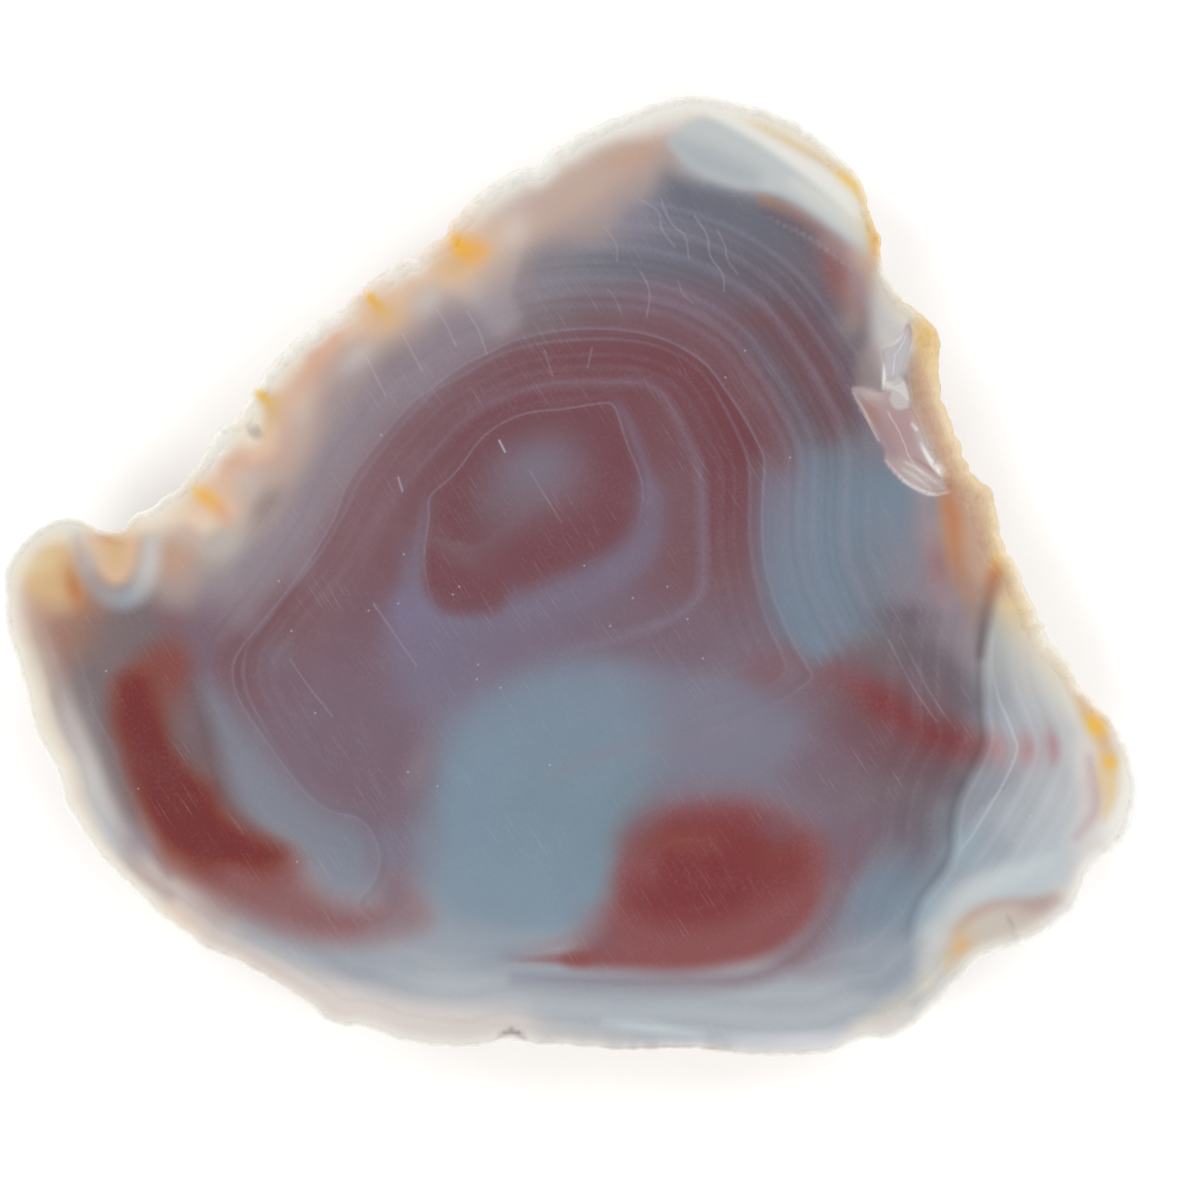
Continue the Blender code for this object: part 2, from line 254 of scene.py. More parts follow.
# Lines of the banding, as closed loops. A third number is the line's strength from there on, and
# the parts of a loop with strength 0 only close it.
LOOPS = {
    "outer_line": (
        (-15.2, -23.4, 0.7), (-14, -21.8, 0.8), (-13.6, -20), (-14.2, -18.2, 0.7), (-15.3, -17.2, 0.6),
        (-17, -16.8), (-18.5, -15.8), (-20, -14.1, 0.7), (-21.5, -12), (-23, -9.9, 0.8), (-23.7, -8.6),
        (-24, -7.4, 0.9), (-24, -6.3), (-23.3, -5), (-22, -3.4), (-20.4, -1.4), (-18.6, 1.1),
        (-16.9, 3.9, 0.8), (-15.9, 6.5, 0.7), (-14.1, 9), (-11.5, 12.1), (-10, 13.2, 0.8), (-7.9, 14.8),
        (-5.9, 15.8, 0.9), (-4.3, 16.6, 1), (-2, 17.2), (0.2, 17.5), (2.9, 17.5), (5.2, 17.2),
        (6.8, 16.7), (8.2, 16), (9.7, 14.9), (10.9, 13.3), (12, 11.7), (12.8, 10.3), (13.6, 8.7),
        (13.75, 7.7), (13.6, 5.3), (13.6, 2.8), (13.8, 0.7), (14.3, -1.3, 0.9), (15, -3), (15.8, -4.8),
        (16.8, -6.5), (17.1, -7.2), (16.3, -8, 0.8), (14.7, -9, 0.7), (13, -9.8, 0.6),
        (10.5, -10.7, 0.4), (8, -11.3, 0.1), (0, -14, 0), (-8, -20), (-13, -24.4)),
    "inner_line": (
        (-22.3, -9.9, 0.8), (-23, -8.4, 0.9), (-23.3, -7.2, 1), (-23.3, -6.3), (-22.9, -4.9),
        (-21.6, -3.2), (-20, -1.1), (-17.8, 1.6, 0.9), (-16.1, 4.5, 0.8), (-15, 6.8, 0.7), (-12.6, 10),
        (-11.1, 11.7), (-9.7, 13.1, 0.8), (-7.8, 14.2), (-5.9, 15.3, 0.9), (-4, 16.1), (-1.6, 16.6, 1),
        (1.1, 16.8), (3.4, 16.8), (5.5, 16.5), (7.2, 15.9), (8.6, 15.1), (9.9, 13.7), (10.9, 12),
        (12, 9.8), (12.6, 8.2), (12.75, 6.5, 0.9), (12.7, 3.7), (12.8, 1.7, 0.8), (13.2, -0.5),
        (13.75, -2.7), (14.4, -4.3), (15.1, -5.8), (15.3, -6.7), (14.7, -7.5, 0.7), (13, -8.5, 0.6),
        (11.3, -9.2, 0.5), (9.7, -9.5, 0.4), (8, -10, 0.2), (0, -12, 0), (-10, -16), (-18, -15.4, 0.2),
        (-20.6, -12.6, 0.5)),
    "lilac_line": (
        (-13.7, 3.6, 0.5), (-12.4, 5.8, 0.6), (-11.3, 7.2), (-9.7, 8.8, 0.7), (-8.1, 10.6),
        (-6.5, 11.9, 0.8), (-4.3, 12.8), (-2.5, 13.4, 0.9), (-0.4, 13.7), (2.9, 13.7), (5.2, 13.7),
        (6.3, 13.1), (7.2, 11.7), (8.2, 9.7), (9, 7.9, 1), (9.3, 5.4), (9.4, 2.7), (9.4, 0),
        (9.1, -1.4), (7.9, -2.6), (6.1, -3.5), (3.7, -4.3, 0.8), (0.2, -5.2, 0.4), (-5, -7, 0),
        (-12, -6), (-14.6, 0, 0.3)),
    "eye_line": (
        (-10, 5.6, 1), (-8.8, 6.7), (-7.7, 7.9), (-6.8, 9.2), (-5.8, 10.2), (-4.3, 11.1), (-2.7, 11.6),
        (-0.7, 11.8), (0.7, 12), (2, 12.2), (3, 12.1), (3.6, 10.5), (4.1, 9), (4.8, 7.4, 0.9),
        (5.1, 5.8, 0.7), (5, 5.1, 0.4), (4.8, 3.8, 0.2), (3.4, 2.2, 0.1), (1.2, 0.9), (-1.1, -0.1),
        (-3.4, -1), (-5.9, -1.9), (-8.1, -2.5), (-9.6, -2.2, 0.2), (-10.3, 0, 0.6), (-10.4, 1.8, 0.8),
        (-10.1, 4, 1)),
    "dark_line": (
        (30.9, 0.5, 0), (30, -2, 0.3), (29.5, -4, 0.7), (29.2, -6, 1), (29.2, -9), (29.3, -10.5),
        (29.4, -11.7), (28.8, -13.3, 0.9), (28, -14.8), (27.4, -16.2), (27.1, -18), (27.1, -19.5),
        (26.6, -20.8), (25.8, -21.9, 0.8), (25, -22.9, 0.7), (24.4, -24.1, 0.6), (24.1, -25.5, 0.4),
        (23.8, -28, 0), (24, -40), (60, -40), (60, 5), (33, 5)),
    "chevron": (
        (30, -5, 0.2), (30.4, -8.5, 0.8), (31, -10, 1), (31.6, -11.6), (31.8, -12.2), (31.5, -13.3),
        (30.8, -14.8), (29.8, -16.5, 0.9), (28.5, -18.6, 0.8), (27.5, -19.9, 0.5), (26.6, -21.4, 0.1),
        (26, -26, 0), (45, -40), (60, -12), (45, 12), (31, 4)),
}

# Bands beside each line: distance from it, outwards positive, half width, and how much paler or,
# below 0, darker
BANDS = {
    "outer_line": (
        (-0.45, 0.35, -0.05), (0.0, 0.22, 0.26), (0.9, 0.35, -0.03), (1.7, 0.45, 0.12), (2.6, 0.5, 0.16),
        (3.6, 0.5, 0.2), (4.7, 0.7, -0.05), (5.9, 0.6, 0.2), (7.6, 0.5, 0.18), (9.2, 0.4, 0.22)),
    "inner_line": (
        (-1.9, 0.35, 0.07), (-1.1, 0.3, 0.07), (0.0, 0.22, 0.24)),
    "lilac_line": (
        (0.0, 0.7, 0.2), (2.0, 0.3, 0.08)),
    "eye_line": (
        (-0.45, 0.4, -0.03), (0.0, 0.25, 0.28), (0.6, 0.4, 0.06), (1.7, 0.4, -0.02)),
    "dark_line": (
        (-0.6, 0.35, 0.14), (0.15, 0.5, -0.34), (1.3, 0.3, 0.03), (2.2, 0.3, -0.04), (3.1, 0.3, 0.03),
        (4.4, 0.3, 0.03), (5.4, 0.4, -0.04), (6.4, 0.3, 0.03)),
    "chevron": (
        (-4.6, 0.4, 0.1), (-3.3, 0.4, 0.15), (-2.5, 0.5, -0.05), (-1.4, 0.35, 0.15), (-0.7, 0.35, -0.06),
        (0.0, 0.18, 0.32), (0.8, 0.3, -0.05)),
}
BAND_REACH = 10.0

# The dark stone's lines turn it lilac with a little white, and the pale stone's lines turn it whiter
LILAC_LINES = ("outer_line", "inner_line", "lilac_line", "eye_line")
LILAC_LINE_SHINE = 0.2

# Where each line's own bands and its fine banding show: softness of the edge, then points round it
BAND_AREAS = {
    "outer_line": (2.0, (
        (-25, -8), (-24.6, -1), (-19.6, 7), (-13.4, 14.6), (-7, 19), (0, 24), (5, 27.4), (9, 27),
        (14, 25.4), (18, 22), (20, 17), (20.4, 11), (21.6, 5), (22.4, 0), (20.6, -4.6), (17.4, -8),
        (12, -9.4), (8, -9.8), (12, -4), (11, 4), (10.6, 9), (7.4, 14.6), (2, 15.4), (-5, 14),
        (-10, 10.6), (-14.4, 4), (-18, -2), (-21, -8), (-17.6, -13.4), (-13.4, -16.4), (-11.8, -19),
        (-12, -23), (-15, -25), (-17, -23), (-15.6, -20), (-17, -18.6), (-19.6, -17.2), (-22, -15))),
    "inner_line": (1.5, (
        (-24, -7), (-19.6, 0), (-15.4, 7.2), (-10, 13.4), (-4, 16.8), (5, 17.2), (10.6, 13), (13.4, 8),
        (13.6, 0), (16, -6), (9, -9.4), (6, -6), (-10, -12), (-19, -14))),
    "lilac_line": (1.2, (
        (-15, 1), (-12.6, 7), (-7, 12.8), (0, 15), (6.6, 14), (10, 8), (10.8, 2), (10, -2.6), (5, -5),
        (0, -7), (-3, -4.6), (4, -2.6), (7, 1), (6.4, 8), (4, 11.8), (-4, 11), (-9, 7.4), (-11.4, 2))),
    "eye_line": (1.0, (
        (-11.8, -2), (-11.4, 5), (-8, 9.4), (-3.4, 12.4), (3.4, 13), (6, 8), (6.6, 4), (3.6, 0.6),
        (-3, -2.6), (-9, -3.6))),
    "dark_line": (1.4, (
        (30.6, -1), (29, -3), (26, 1), (22.6, -1), (21, -6), (22.6, -14), (20, -21), (19, -28),
        (24, -28), (27, -23), (31, -18), (32, -11))),
    "chevron": (1.0, (
        (29.8, -3), (30, -9), (30, -12), (28.4, -16), (27.8, -20), (31, -22), (36, -21), (38, -15),
        (36.8, -9), (32.4, -3))),
}

# Bands that follow the skin: depth in from the rim, half width, and how much paler or darker. The
# area where they show starts with its softness.
SKIN_BANDS = (
    (1.9, 0.35, -0.06), (2.7, 0.35, 0.06), (3.6, 0.4, -0.05), (4.4, 0.35, 0.06), (5.4, 0.4, -0.04),
    (6.3, 0.35, 0.05),
)
SKIN_BAND_AREA = (1.6, (
    (-38, -3), (-33, -9), (-31, -17), (-26, -22.6), (-17, -26.8), (-8, -26.4), (0, -28.4), (13, -28.6),
    (19, -25), (24, -24), (26.6, -28), (20, -36), (0, -36), (-16, -35), (-32, -26), (-42, -8)))

# Fine scratches: strength, then points along each. The specks are dust in the polish.
SCRATCHES = (
    (0.5, (-5.1, 9.6), (-4.7, 8.8)),
    (0.08, (-2.9, 7.4), (-0.7, 3.8)),
    (0.3, (-12.3, 7), (-12.0, 6)),
    (0.1, (1.5, 16.2), (1.2, 14.8)), (0.1, (-1.9, 16), (-1.3, 14.2)),
    (0.11, (4.9, 26.8), (6.2, 25.9), (6.5, 24.6), (7.4, 23.4)),
    (0.12, (6.4, 26.8), (7.2, 25), (8.1, 24.2), (8.4, 22.6)),
    (0.13, (8.8, 25.6), (9.7, 24.2), (9.9, 22.8), (10.8, 21.4), (10.9, 20.2)),
    (0.11, (10.4, 24.6), (11, 23.4), (11.1, 22.6), (11.9, 21.4)),
    (0.1, (2.4, 24.8), (3.2, 23.6), (3.3, 22.4)),
    (0.11, (5, 21.6), (5.6, 20.2), (5.4, 18.4)), (0.09, (7.6, 21), (8.0, 20), (8.7, 19.4)),
    (0.09, (2.6, 20.4), (3.2, 19.6), (3.6, 18.6)),
    (0.14, (-9.6, 19), (-8.9, 17.9), (-8.2, 16.4)), (0.14, (-7.4, 18.8), (-6.6, 17.5), (-6, 15.8)),
    (0.14, (-12, 17.2), (-11.4, 16.1), (-10.6, 14.6)), (0.14, (-14.6, 15.6), (-13.2, 12.8)),
    (0.1, (22.6, -4.6), (24.4, -8), (26, -10.4)), (0.08, (23.4, -4.2), (25.6, -8.4), (27.4, -11)),
    (0.1, (-20, -6), (-18.6, -8), (-17, -10)), (0.1, (-14, -2), (-12.4, -4.4), (-11, -6.4)),
)
SPECKS = (
    (-13.5, 10), (-11.9, 1.5), (-8.4, -1.35), (-12.3, -2), (-14.4, -2.5), (-6.6, -6.35), (-6.7, -7.4),
    (2.8, -3.6), (8.3, -3.1), (4.4, -1.6), (6.85, -0.8), (0.95, 0.7), (-7.95, -0.8), (9.4, -5.9),
    (-5, -8), (-11.6, -14), (-9.5, -15), (-1.5, -13.5), (-20.8, -0.4), (-33.1, -6.8), (-30.8, -15.2),
    (-19.5, -20.4), (-18.2, -9.8), (-19.9, -3.95), (12.4, 16), (11, 14.1), (15.6, 8.4), (32.7, -17.1),
)
SPECK_STRENGTH = 0.45
SCRATCH_STEP = 0.3
SCRATCH_WIDTH = 0.13

# Width over which the skin or a scar takes over from the polish
EDGE_BLEND = 0.04

# Fine banding between the lines: bands per millimetre, strength beside each line, and how far it
# reaches inwards and outwards, with this width to fade out
FINE_BANDS = 1.6
FINE_BAND_DETAIL = 3.0
FINE_BAND_FADE = 1.0
FINE_BAND_STRENGTHS = {"outer_line": 0.3, "inner_line": 0.2, "lilac_line": 0.1, "eye_line": 0.0,
                       "dark_line": 0.07, "chevron": 0.14}
FINE_BAND_REACH = {"outer_line": (0.5, 8.5), "inner_line": (2.6, 0.5), "lilac_line": (0.8, 2.6),
                   "eye_line": (1.0, 1.0), "dark_line": (0.5, 7.0), "chevron": (6.0, 2.0)}

# Polishing marks: their slant, how many there are to a metre, how many times longer than wide they
# are, the noise level that they start at and their strength. They show in patches.
HATCH_ANGLE = 57.0
HATCH_FINENESS = 6500.0
HATCH_LENGTH = 22.0
HATCH_LEVEL = 0.58
HATCH_STRENGTH = 0.45
HATCH_PATCHES = 190.0
HATCH_PATCH_CONTRAST = 5.0
HATCH_PATCH_LEVEL = 2.1

# Noise of the stone, as its waves to a metre, its detail and its roughness, and how strongly it shows
CLOUD = (260.0, 3.0, 0.6)
CLOUD_STRENGTH = 0.08
GRAIN = (4200.0, 1.0)
GRAIN_STRENGTH = 0.07
CRUST_MOTTLE = (1300.0, 3.0, 0.65)
CRUST_MOTTLE_STRENGTH = 0.45
CRUST_BUMP = (1500.0, 4.0, 0.65)
CRUST_BUMP_STRENGTH = 0.5
CRUST_BUMP_HEIGHT = 0.3

# The polish, how much duller the skin and a scar are, and how light passes through the stone
POLISH_ROUGHNESS = 0.16
SKIN_DULLNESS = 0.72
SCAR_DULLNESS = 0.16
AGATE_IOR = 1.54
AGATE_SPECULAR = 0.3
GLOW_SHARE = 0.1
GLOW_DEPTH = 0.6

# How light the studio makes a surface: what comes back is a sheen plus the gain times its own colour
SHEEN = 0.042
LIGHT_GAIN = 1.43
DARKEST = 0.004
PALEST = 0.93

# An upright surface gets this share of a level one's light. The skin's colour is painted paler by the
# light that its slopes lack: painted light, which also stands in for a glow through the thin edge. The
# share is reckoned from the skin's slopes, averaged over this many corners each way and never taken as
# steeper than the least level.
UPRIGHT_LIGHT = 0.3
GRAIN_REACH = 12
LEAST_LEVEL = 0.45

# Colours of the rough back: dun with ochre, and over it rusty and pale patches, and painted shade in its
# dimples and pits. Patches have a strength and a size, and a shift that sets them apart.
BACK_LIFT = 1.3
OCHRE_PATCHES = (0.9, 11.0)
OCHRE_FLECKS = (0.35, 3.1)
RUST_PATCHES = (1.3, 7.0, (3.3, 8.1, 2.7))
RUST_LEVEL = 0.6
RUST_RISE = 2.0
RUST_STRENGTH = 0.6
PALE_PATCHES = (0.8, 2.2, (9.1, 0.4, 6.6))
PALE_STRENGTH = 0.5
DIMPLE_SHADE = 0.3
PIT_SHADE = 0.5

# The white crust of the rim ends above the first of these heights, give or take its waves, which
# have a height and a length. Its colour grows in by this power, up to this strength.
CRUST_FOOT = 15.0
CRUST_WAVES = ((5.0, 6.0), (2.5, 2.0))
CRUST_GROWTH = 0.6
CRUST_STRENGTH = 0.9

# Camera and picture
PICTURE = (1187.0, 1200.0)
PIXELS_PER_MM = 14.0
PICTURE_ORIGIN = (571.0, 575.5)
CAMERA_DISTANCE = 900.0

# The studio's light and floor
SKY_STRENGTH = 0.55
LAMP_COUNT = 6
LAMP_FIRST_ANGLE = 30.0
LAMP_REACH = 240.0
LAMP_HEIGHT = 900.0
LAMP_SIZE = 150.0
LAMP_WATTS = 1.35
FLOOR_SIZE = 4000.0
FLOOR_COLOUR = (0.98, 0.98, 0.98, 1.0)
FLOOR_ROUGHNESS = 0.9
WHITE = (1.0, 1.0, 1.0, 1.0)

# Layout of the picture that the surface is baked into: the face above, as wide as this span, and the
# skin and the back in a strip of this height below. The flat spot has a free corner of the face's part.
FACE_SPAN = 82.4
STRIP = 0.155
GAP = 0.008
SPOT_PLACE = (37.6, -31.6)
SPOT_RADIUS = 2.6


def smooth_path(points, closed=False, step=PATH_STEP):
    """A Catmull-Rom curve through rows of numbers, the first two of which are x and y."""
    points = np.asarray(points, float)
    if closed:
        ends = np.vstack([points[-1:], points, points[:2]])
    else:
        ends = np.vstack([2 * points[0] - points[1], points, 2 * points[-1] - points[-2]])
    rows = []
    for before, start, end, after in zip(ends, ends[1:], ends[2:], ends[3:]):
        pieces = max(1, math.ceil(math.dist(start[:2], end[:2]) / step))
        t = (np.arange(pieces) / pieces)[:, None]
        rows.append(0.5 * (2 * start + (end - before) * t
                           + (2 * before - 5 * start + 4 * end - after) * t ** 2
                           + (3 * start - before - 3 * end + after) * t ** 3))
    rows.append(points[:1] if closed else points[-1:])
    return np.vstack(rows)


def even_loop(curve, count):
    """A closed curve again, as points at equal distances along it."""
    reach = np.concatenate([[0.0], np.cumsum(np.hypot(*np.diff(curve[:, :2], axis=0).T))])
    wanted = np.arange(count) * reach[-1] / count
    return np.stack([np.interp(wanted, reach, column) for column in curve.T], axis=1)


def nearest(x, y, path):
    """Distance from each place to a path, with the path's other columns at the nearest point."""
    best = np.full(x.shape, np.inf)
    extra = np.zeros((len(x), path.shape[1] - 2))
    for start, end in zip(path, path[1:]):
        along = end[:2] - start[:2]
        length = along @ along
        if length == 0.0:
            continue
        t = np.clip(((x - start[0]) * along[0] + (y - start[1]) * along[1]) / length, 0.0, 1.0)
        far = np.hypot(x - start[0] - t * along[0], y - start[1] - t * along[1])
        closer = far < best
        best[closer] = far[closer]
        extra[closer] = start[2:] + t[closer, None] * (end[2:] - start[2:])
    return best, extra


def inside(x, y, loop):
    """Whether each place lies inside a closed path."""
    odd = np.zeros(x.shape, bool)
    for start, end in zip(loop, loop[1:]):
        if start[1] != end[1]:
            crosses = (start[1] > y) != (end[1] > y)
            odd ^= crosses & (x < start[0] + (y - start[1]) * (end[0] - start[0]) / (end[1] - start[1]))
    return odd


def signed_distance(x, y, loop):
    """Distance from a closed loop, positive outside it, with the loop's other columns."""
    far, found = nearest(x, y, loop)
    return np.where(inside(x, y, loop), -far, far), found


def area_share(x, y, area):
    """How far inside an area with a soft edge each place lies, from 0 to 1."""
    soft, points = area
    distance, _ = signed_distance(x, y, smooth_path(points, closed=True))
    return smoothstep(-soft, soft, -distance)


def ring_closed(ring):
    """A ring of points with its first point again at its end."""
    return np.vstack([ring, ring[:1]])


def ring_average(ring, reach):
    """A ring's values, each averaged over its neighbours up to this many points away."""
    window = np.ones(2 * reach + 1) / (2 * reach + 1)
    wrapped = np.concatenate([ring[-reach:], ring, ring[:reach]])
    return np.apply_along_axis(np.convolve, 0, wrapped, window, "valid")


def carried(points):
    """Points with a third number each. One without it takes the number of the point before it."""
    rows = []
    for point in points:
        rows.append((*point[:2], *(point[2:] or rows[-1][2:])))
    return rows


def rim_from_frame():
    """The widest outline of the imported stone, clockwise from above, as evenly spaced points."""
    corners = np.array([corner.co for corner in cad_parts[NODE].data.vertices]) / MM
    level = corners[abs(corners[:, 2] - RIM_HEIGHT) < SAME_LEVEL, :2]
    left = [tuple(row) for row in np.unique(level.round(LEVEL_DIGITS), axis=0)]
    chain = [left.pop(0)]
    while left:
        chain.append(left.pop(min(range(len(left)), key=lambda k: math.dist(left[k], chain[-1]))))
    rim = np.array(chain)
    area = np.sum(rim[:, 0] * np.roll(rim[:, 1], -1) - np.roll(rim[:, 0], -1) * rim[:, 1])
    if area > 0:
        rim = rim[::-1]
    return even_loop(smooth_path(rim, closed=True, step=RIM_STEP), ROUND_COUNT)


def outward_normals(ring):
    """Unit vectors that point out of a clockwise ring."""
    along = np.roll(ring, -2, axis=0) - np.roll(ring, 2, axis=0)
    along /= np.hypot(*along.T)[:, None]
    return np.stack([-along[:, 1], along[:, 0]], axis=1)


def crust_noise(place):
    """How far a grain of the crust stands out at a place."""
    return sum(height * noise.noise(place / size) for height, size in CRUST_GRAINS)


def dimple_share(place):
    """How deep in a dimple of the back a place is, from 0 to 1."""
    close = noise.voronoi(place / DIMPLE_SPACING)[0][0]
    return max(0.0, 1.0 - (close / DIMPLE_REACH) ** 2)


def back_relief(place):
    """How far the back stands out at a place, from its lumps, knobs and dimples."""
    lump = LUMP_HEIGHT * noise.noise(place / LUMP_SIZE)
    knob = KNOB_HEIGHT * noise.noise(place / KNOB_SIZE + KNOB_SHIFT)
    return lump + knob - DIMPLE_DEPTH * dimple_share(place)


def widths_round(rim):
    """The width of the skin at each point of the rim."""
    keys = np.array(SKIN_WIDTHS)
    starts = [int(np.argmin(np.hypot(rim[:, 0] - x, rim[:, 1] - y))) for x, y, _ in keys]
    order = np.argsort(starts)
    return np.interp(np.arange(len(rim)), np.array(starts)[order], keys[order, 2], period=len(rim))


def smoothstep(low, high, value):
    """0 below low, 1 above high and an even slope between."""
    t = np.clip((value - low) / (high - low), 0.0, 1.0)
    return t * t * (3.0 - 2.0 * t)


def tone(name):
    """A named colour as numbers from 0 to 1."""
    return np.array(COLOURS[name], float) / 255.0


def coloured_path(items):
    """Rows of x, y, red, green and blue. A name colours the next point, and others lie between."""
    points, keys = [], []
    name = None
    for item in items:
        if isinstance(item, str):
            name = item
            continue
        points.append(item)
        keys.append(name)
        name = None
    points = np.array(points, float)
    reach = np.concatenate([[0.0], np.cumsum(np.hypot(*np.diff(points[:, :2], axis=0).T))])
    keyed = [k for k, key in enumerate(keys) if key]
    shades = np.array([tone(keys[k]) for k in keyed])
    mixed = np.stack([np.interp(reach, reach[keyed], column) for column in shades.T], axis=1)
    return np.hstack([points, mixed])


class Face:
    """Colours at places on the face, laid down from the ground up."""

    def __init__(self, x, y, depth):
        self.x, self.y, self.depth = x, y, depth
        self.colour = np.zeros((len(x), 3))

    def lay(self, rows, shades, share):
        """Mix a colour into the places of some rows, by a share from 0 to 1."""
        self.colour[rows] += (shades - self.colour[rows]) * share[:, None]

    def near(self, path, reach):
        """The rows of the places in the box round a path."""
        low, high = path[:, :2].min(axis=0) - reach, path[:, :2].max(axis=0) + reach
        across = (self.x > low[0]) & (self.x < high[0])
        return np.flatnonzero(across & (self.y > low[1]) & (self.y < high[1]))

    def ground(self, veins):
        """Soft colours that spread from lines drawn along the bands."""
        total = np.zeros(len(self.x))
        for vein in veins:
            far, shade = nearest(self.x, self.y, smooth_path(coloured_path(vein), step=VEIN_STEP))
            weight = 1.0 / (far ** 2 + VEIN_SPREAD ** 2) ** VEIN_POWER
            total += weight
            self.colour += weight[:, None] * shade
        self.colour /= total[:, None]

    def patch(self, name, strength, soft, *points):
        """A closed patch of one colour with a soft edge. A third number sets the edge's softness there."""
        rows = [point if len(point) == 3 else (*point, soft) for point in points]
        loop = smooth_path(rows, closed=True)
        near = self.near(loop, loop[:, 2].max())
        x, y = self.x[near], self.y[near]
        far, softness = nearest(x, y, loop)
        depth = np.where(inside(x, y, loop), far, -far) / softness[:, 0]
        self.lay(near, tone(name), strength * smoothstep(-1.0, 1.0, depth))

    def streak(self, strength, soft, *items):
        """A band of changing colour and half width along a line."""
        path = smooth_path(coloured_path(items))
        near = self.near(path, path[:, 2].max() + soft)
        far, found = nearest(self.x[near], self.y[near], path)
        width = np.maximum(found[:, 0], 0.0)
        share = strength * smoothstep(-soft, soft, width - far) * np.minimum(1.0, width / THIN_STREAK)
        self.lay(near, found[:, 1:], share)

    def spot(self, name, strength, x, y, half_width, half_height=None, turn=0.0):
        """A glow of colour that fades out from its centre."""
        angle = math.radians(turn)
        dx, dy = self.x - x, self.y - y
        u = (dx * math.cos(angle) + dy * math.sin(angle)) / half_width
        v = (dy * math.cos(angle) - dx * math.sin(angle)) / (half_height or half_width)
        share = strength * np.exp(-SPOT_FALL * (u * u + v * v))
        near = np.flatnonzero(share > SPOT_END)
        self.lay(near, tone(name), share[near])

    def rim(self, strength, fade, *items):
        """A wash of changing colour and depth along the rim."""
        path = coloured_path(items)
        near = np.flatnonzero(self.depth < path[:, 2].max() + fade)
        _, found = nearest(self.x[near], self.y[near], ring_closed(path))
        share = smoothstep(-fade, fade, found[:, 0] - self.depth[near])
        self.lay(near, found[:, 1:], strength * share)


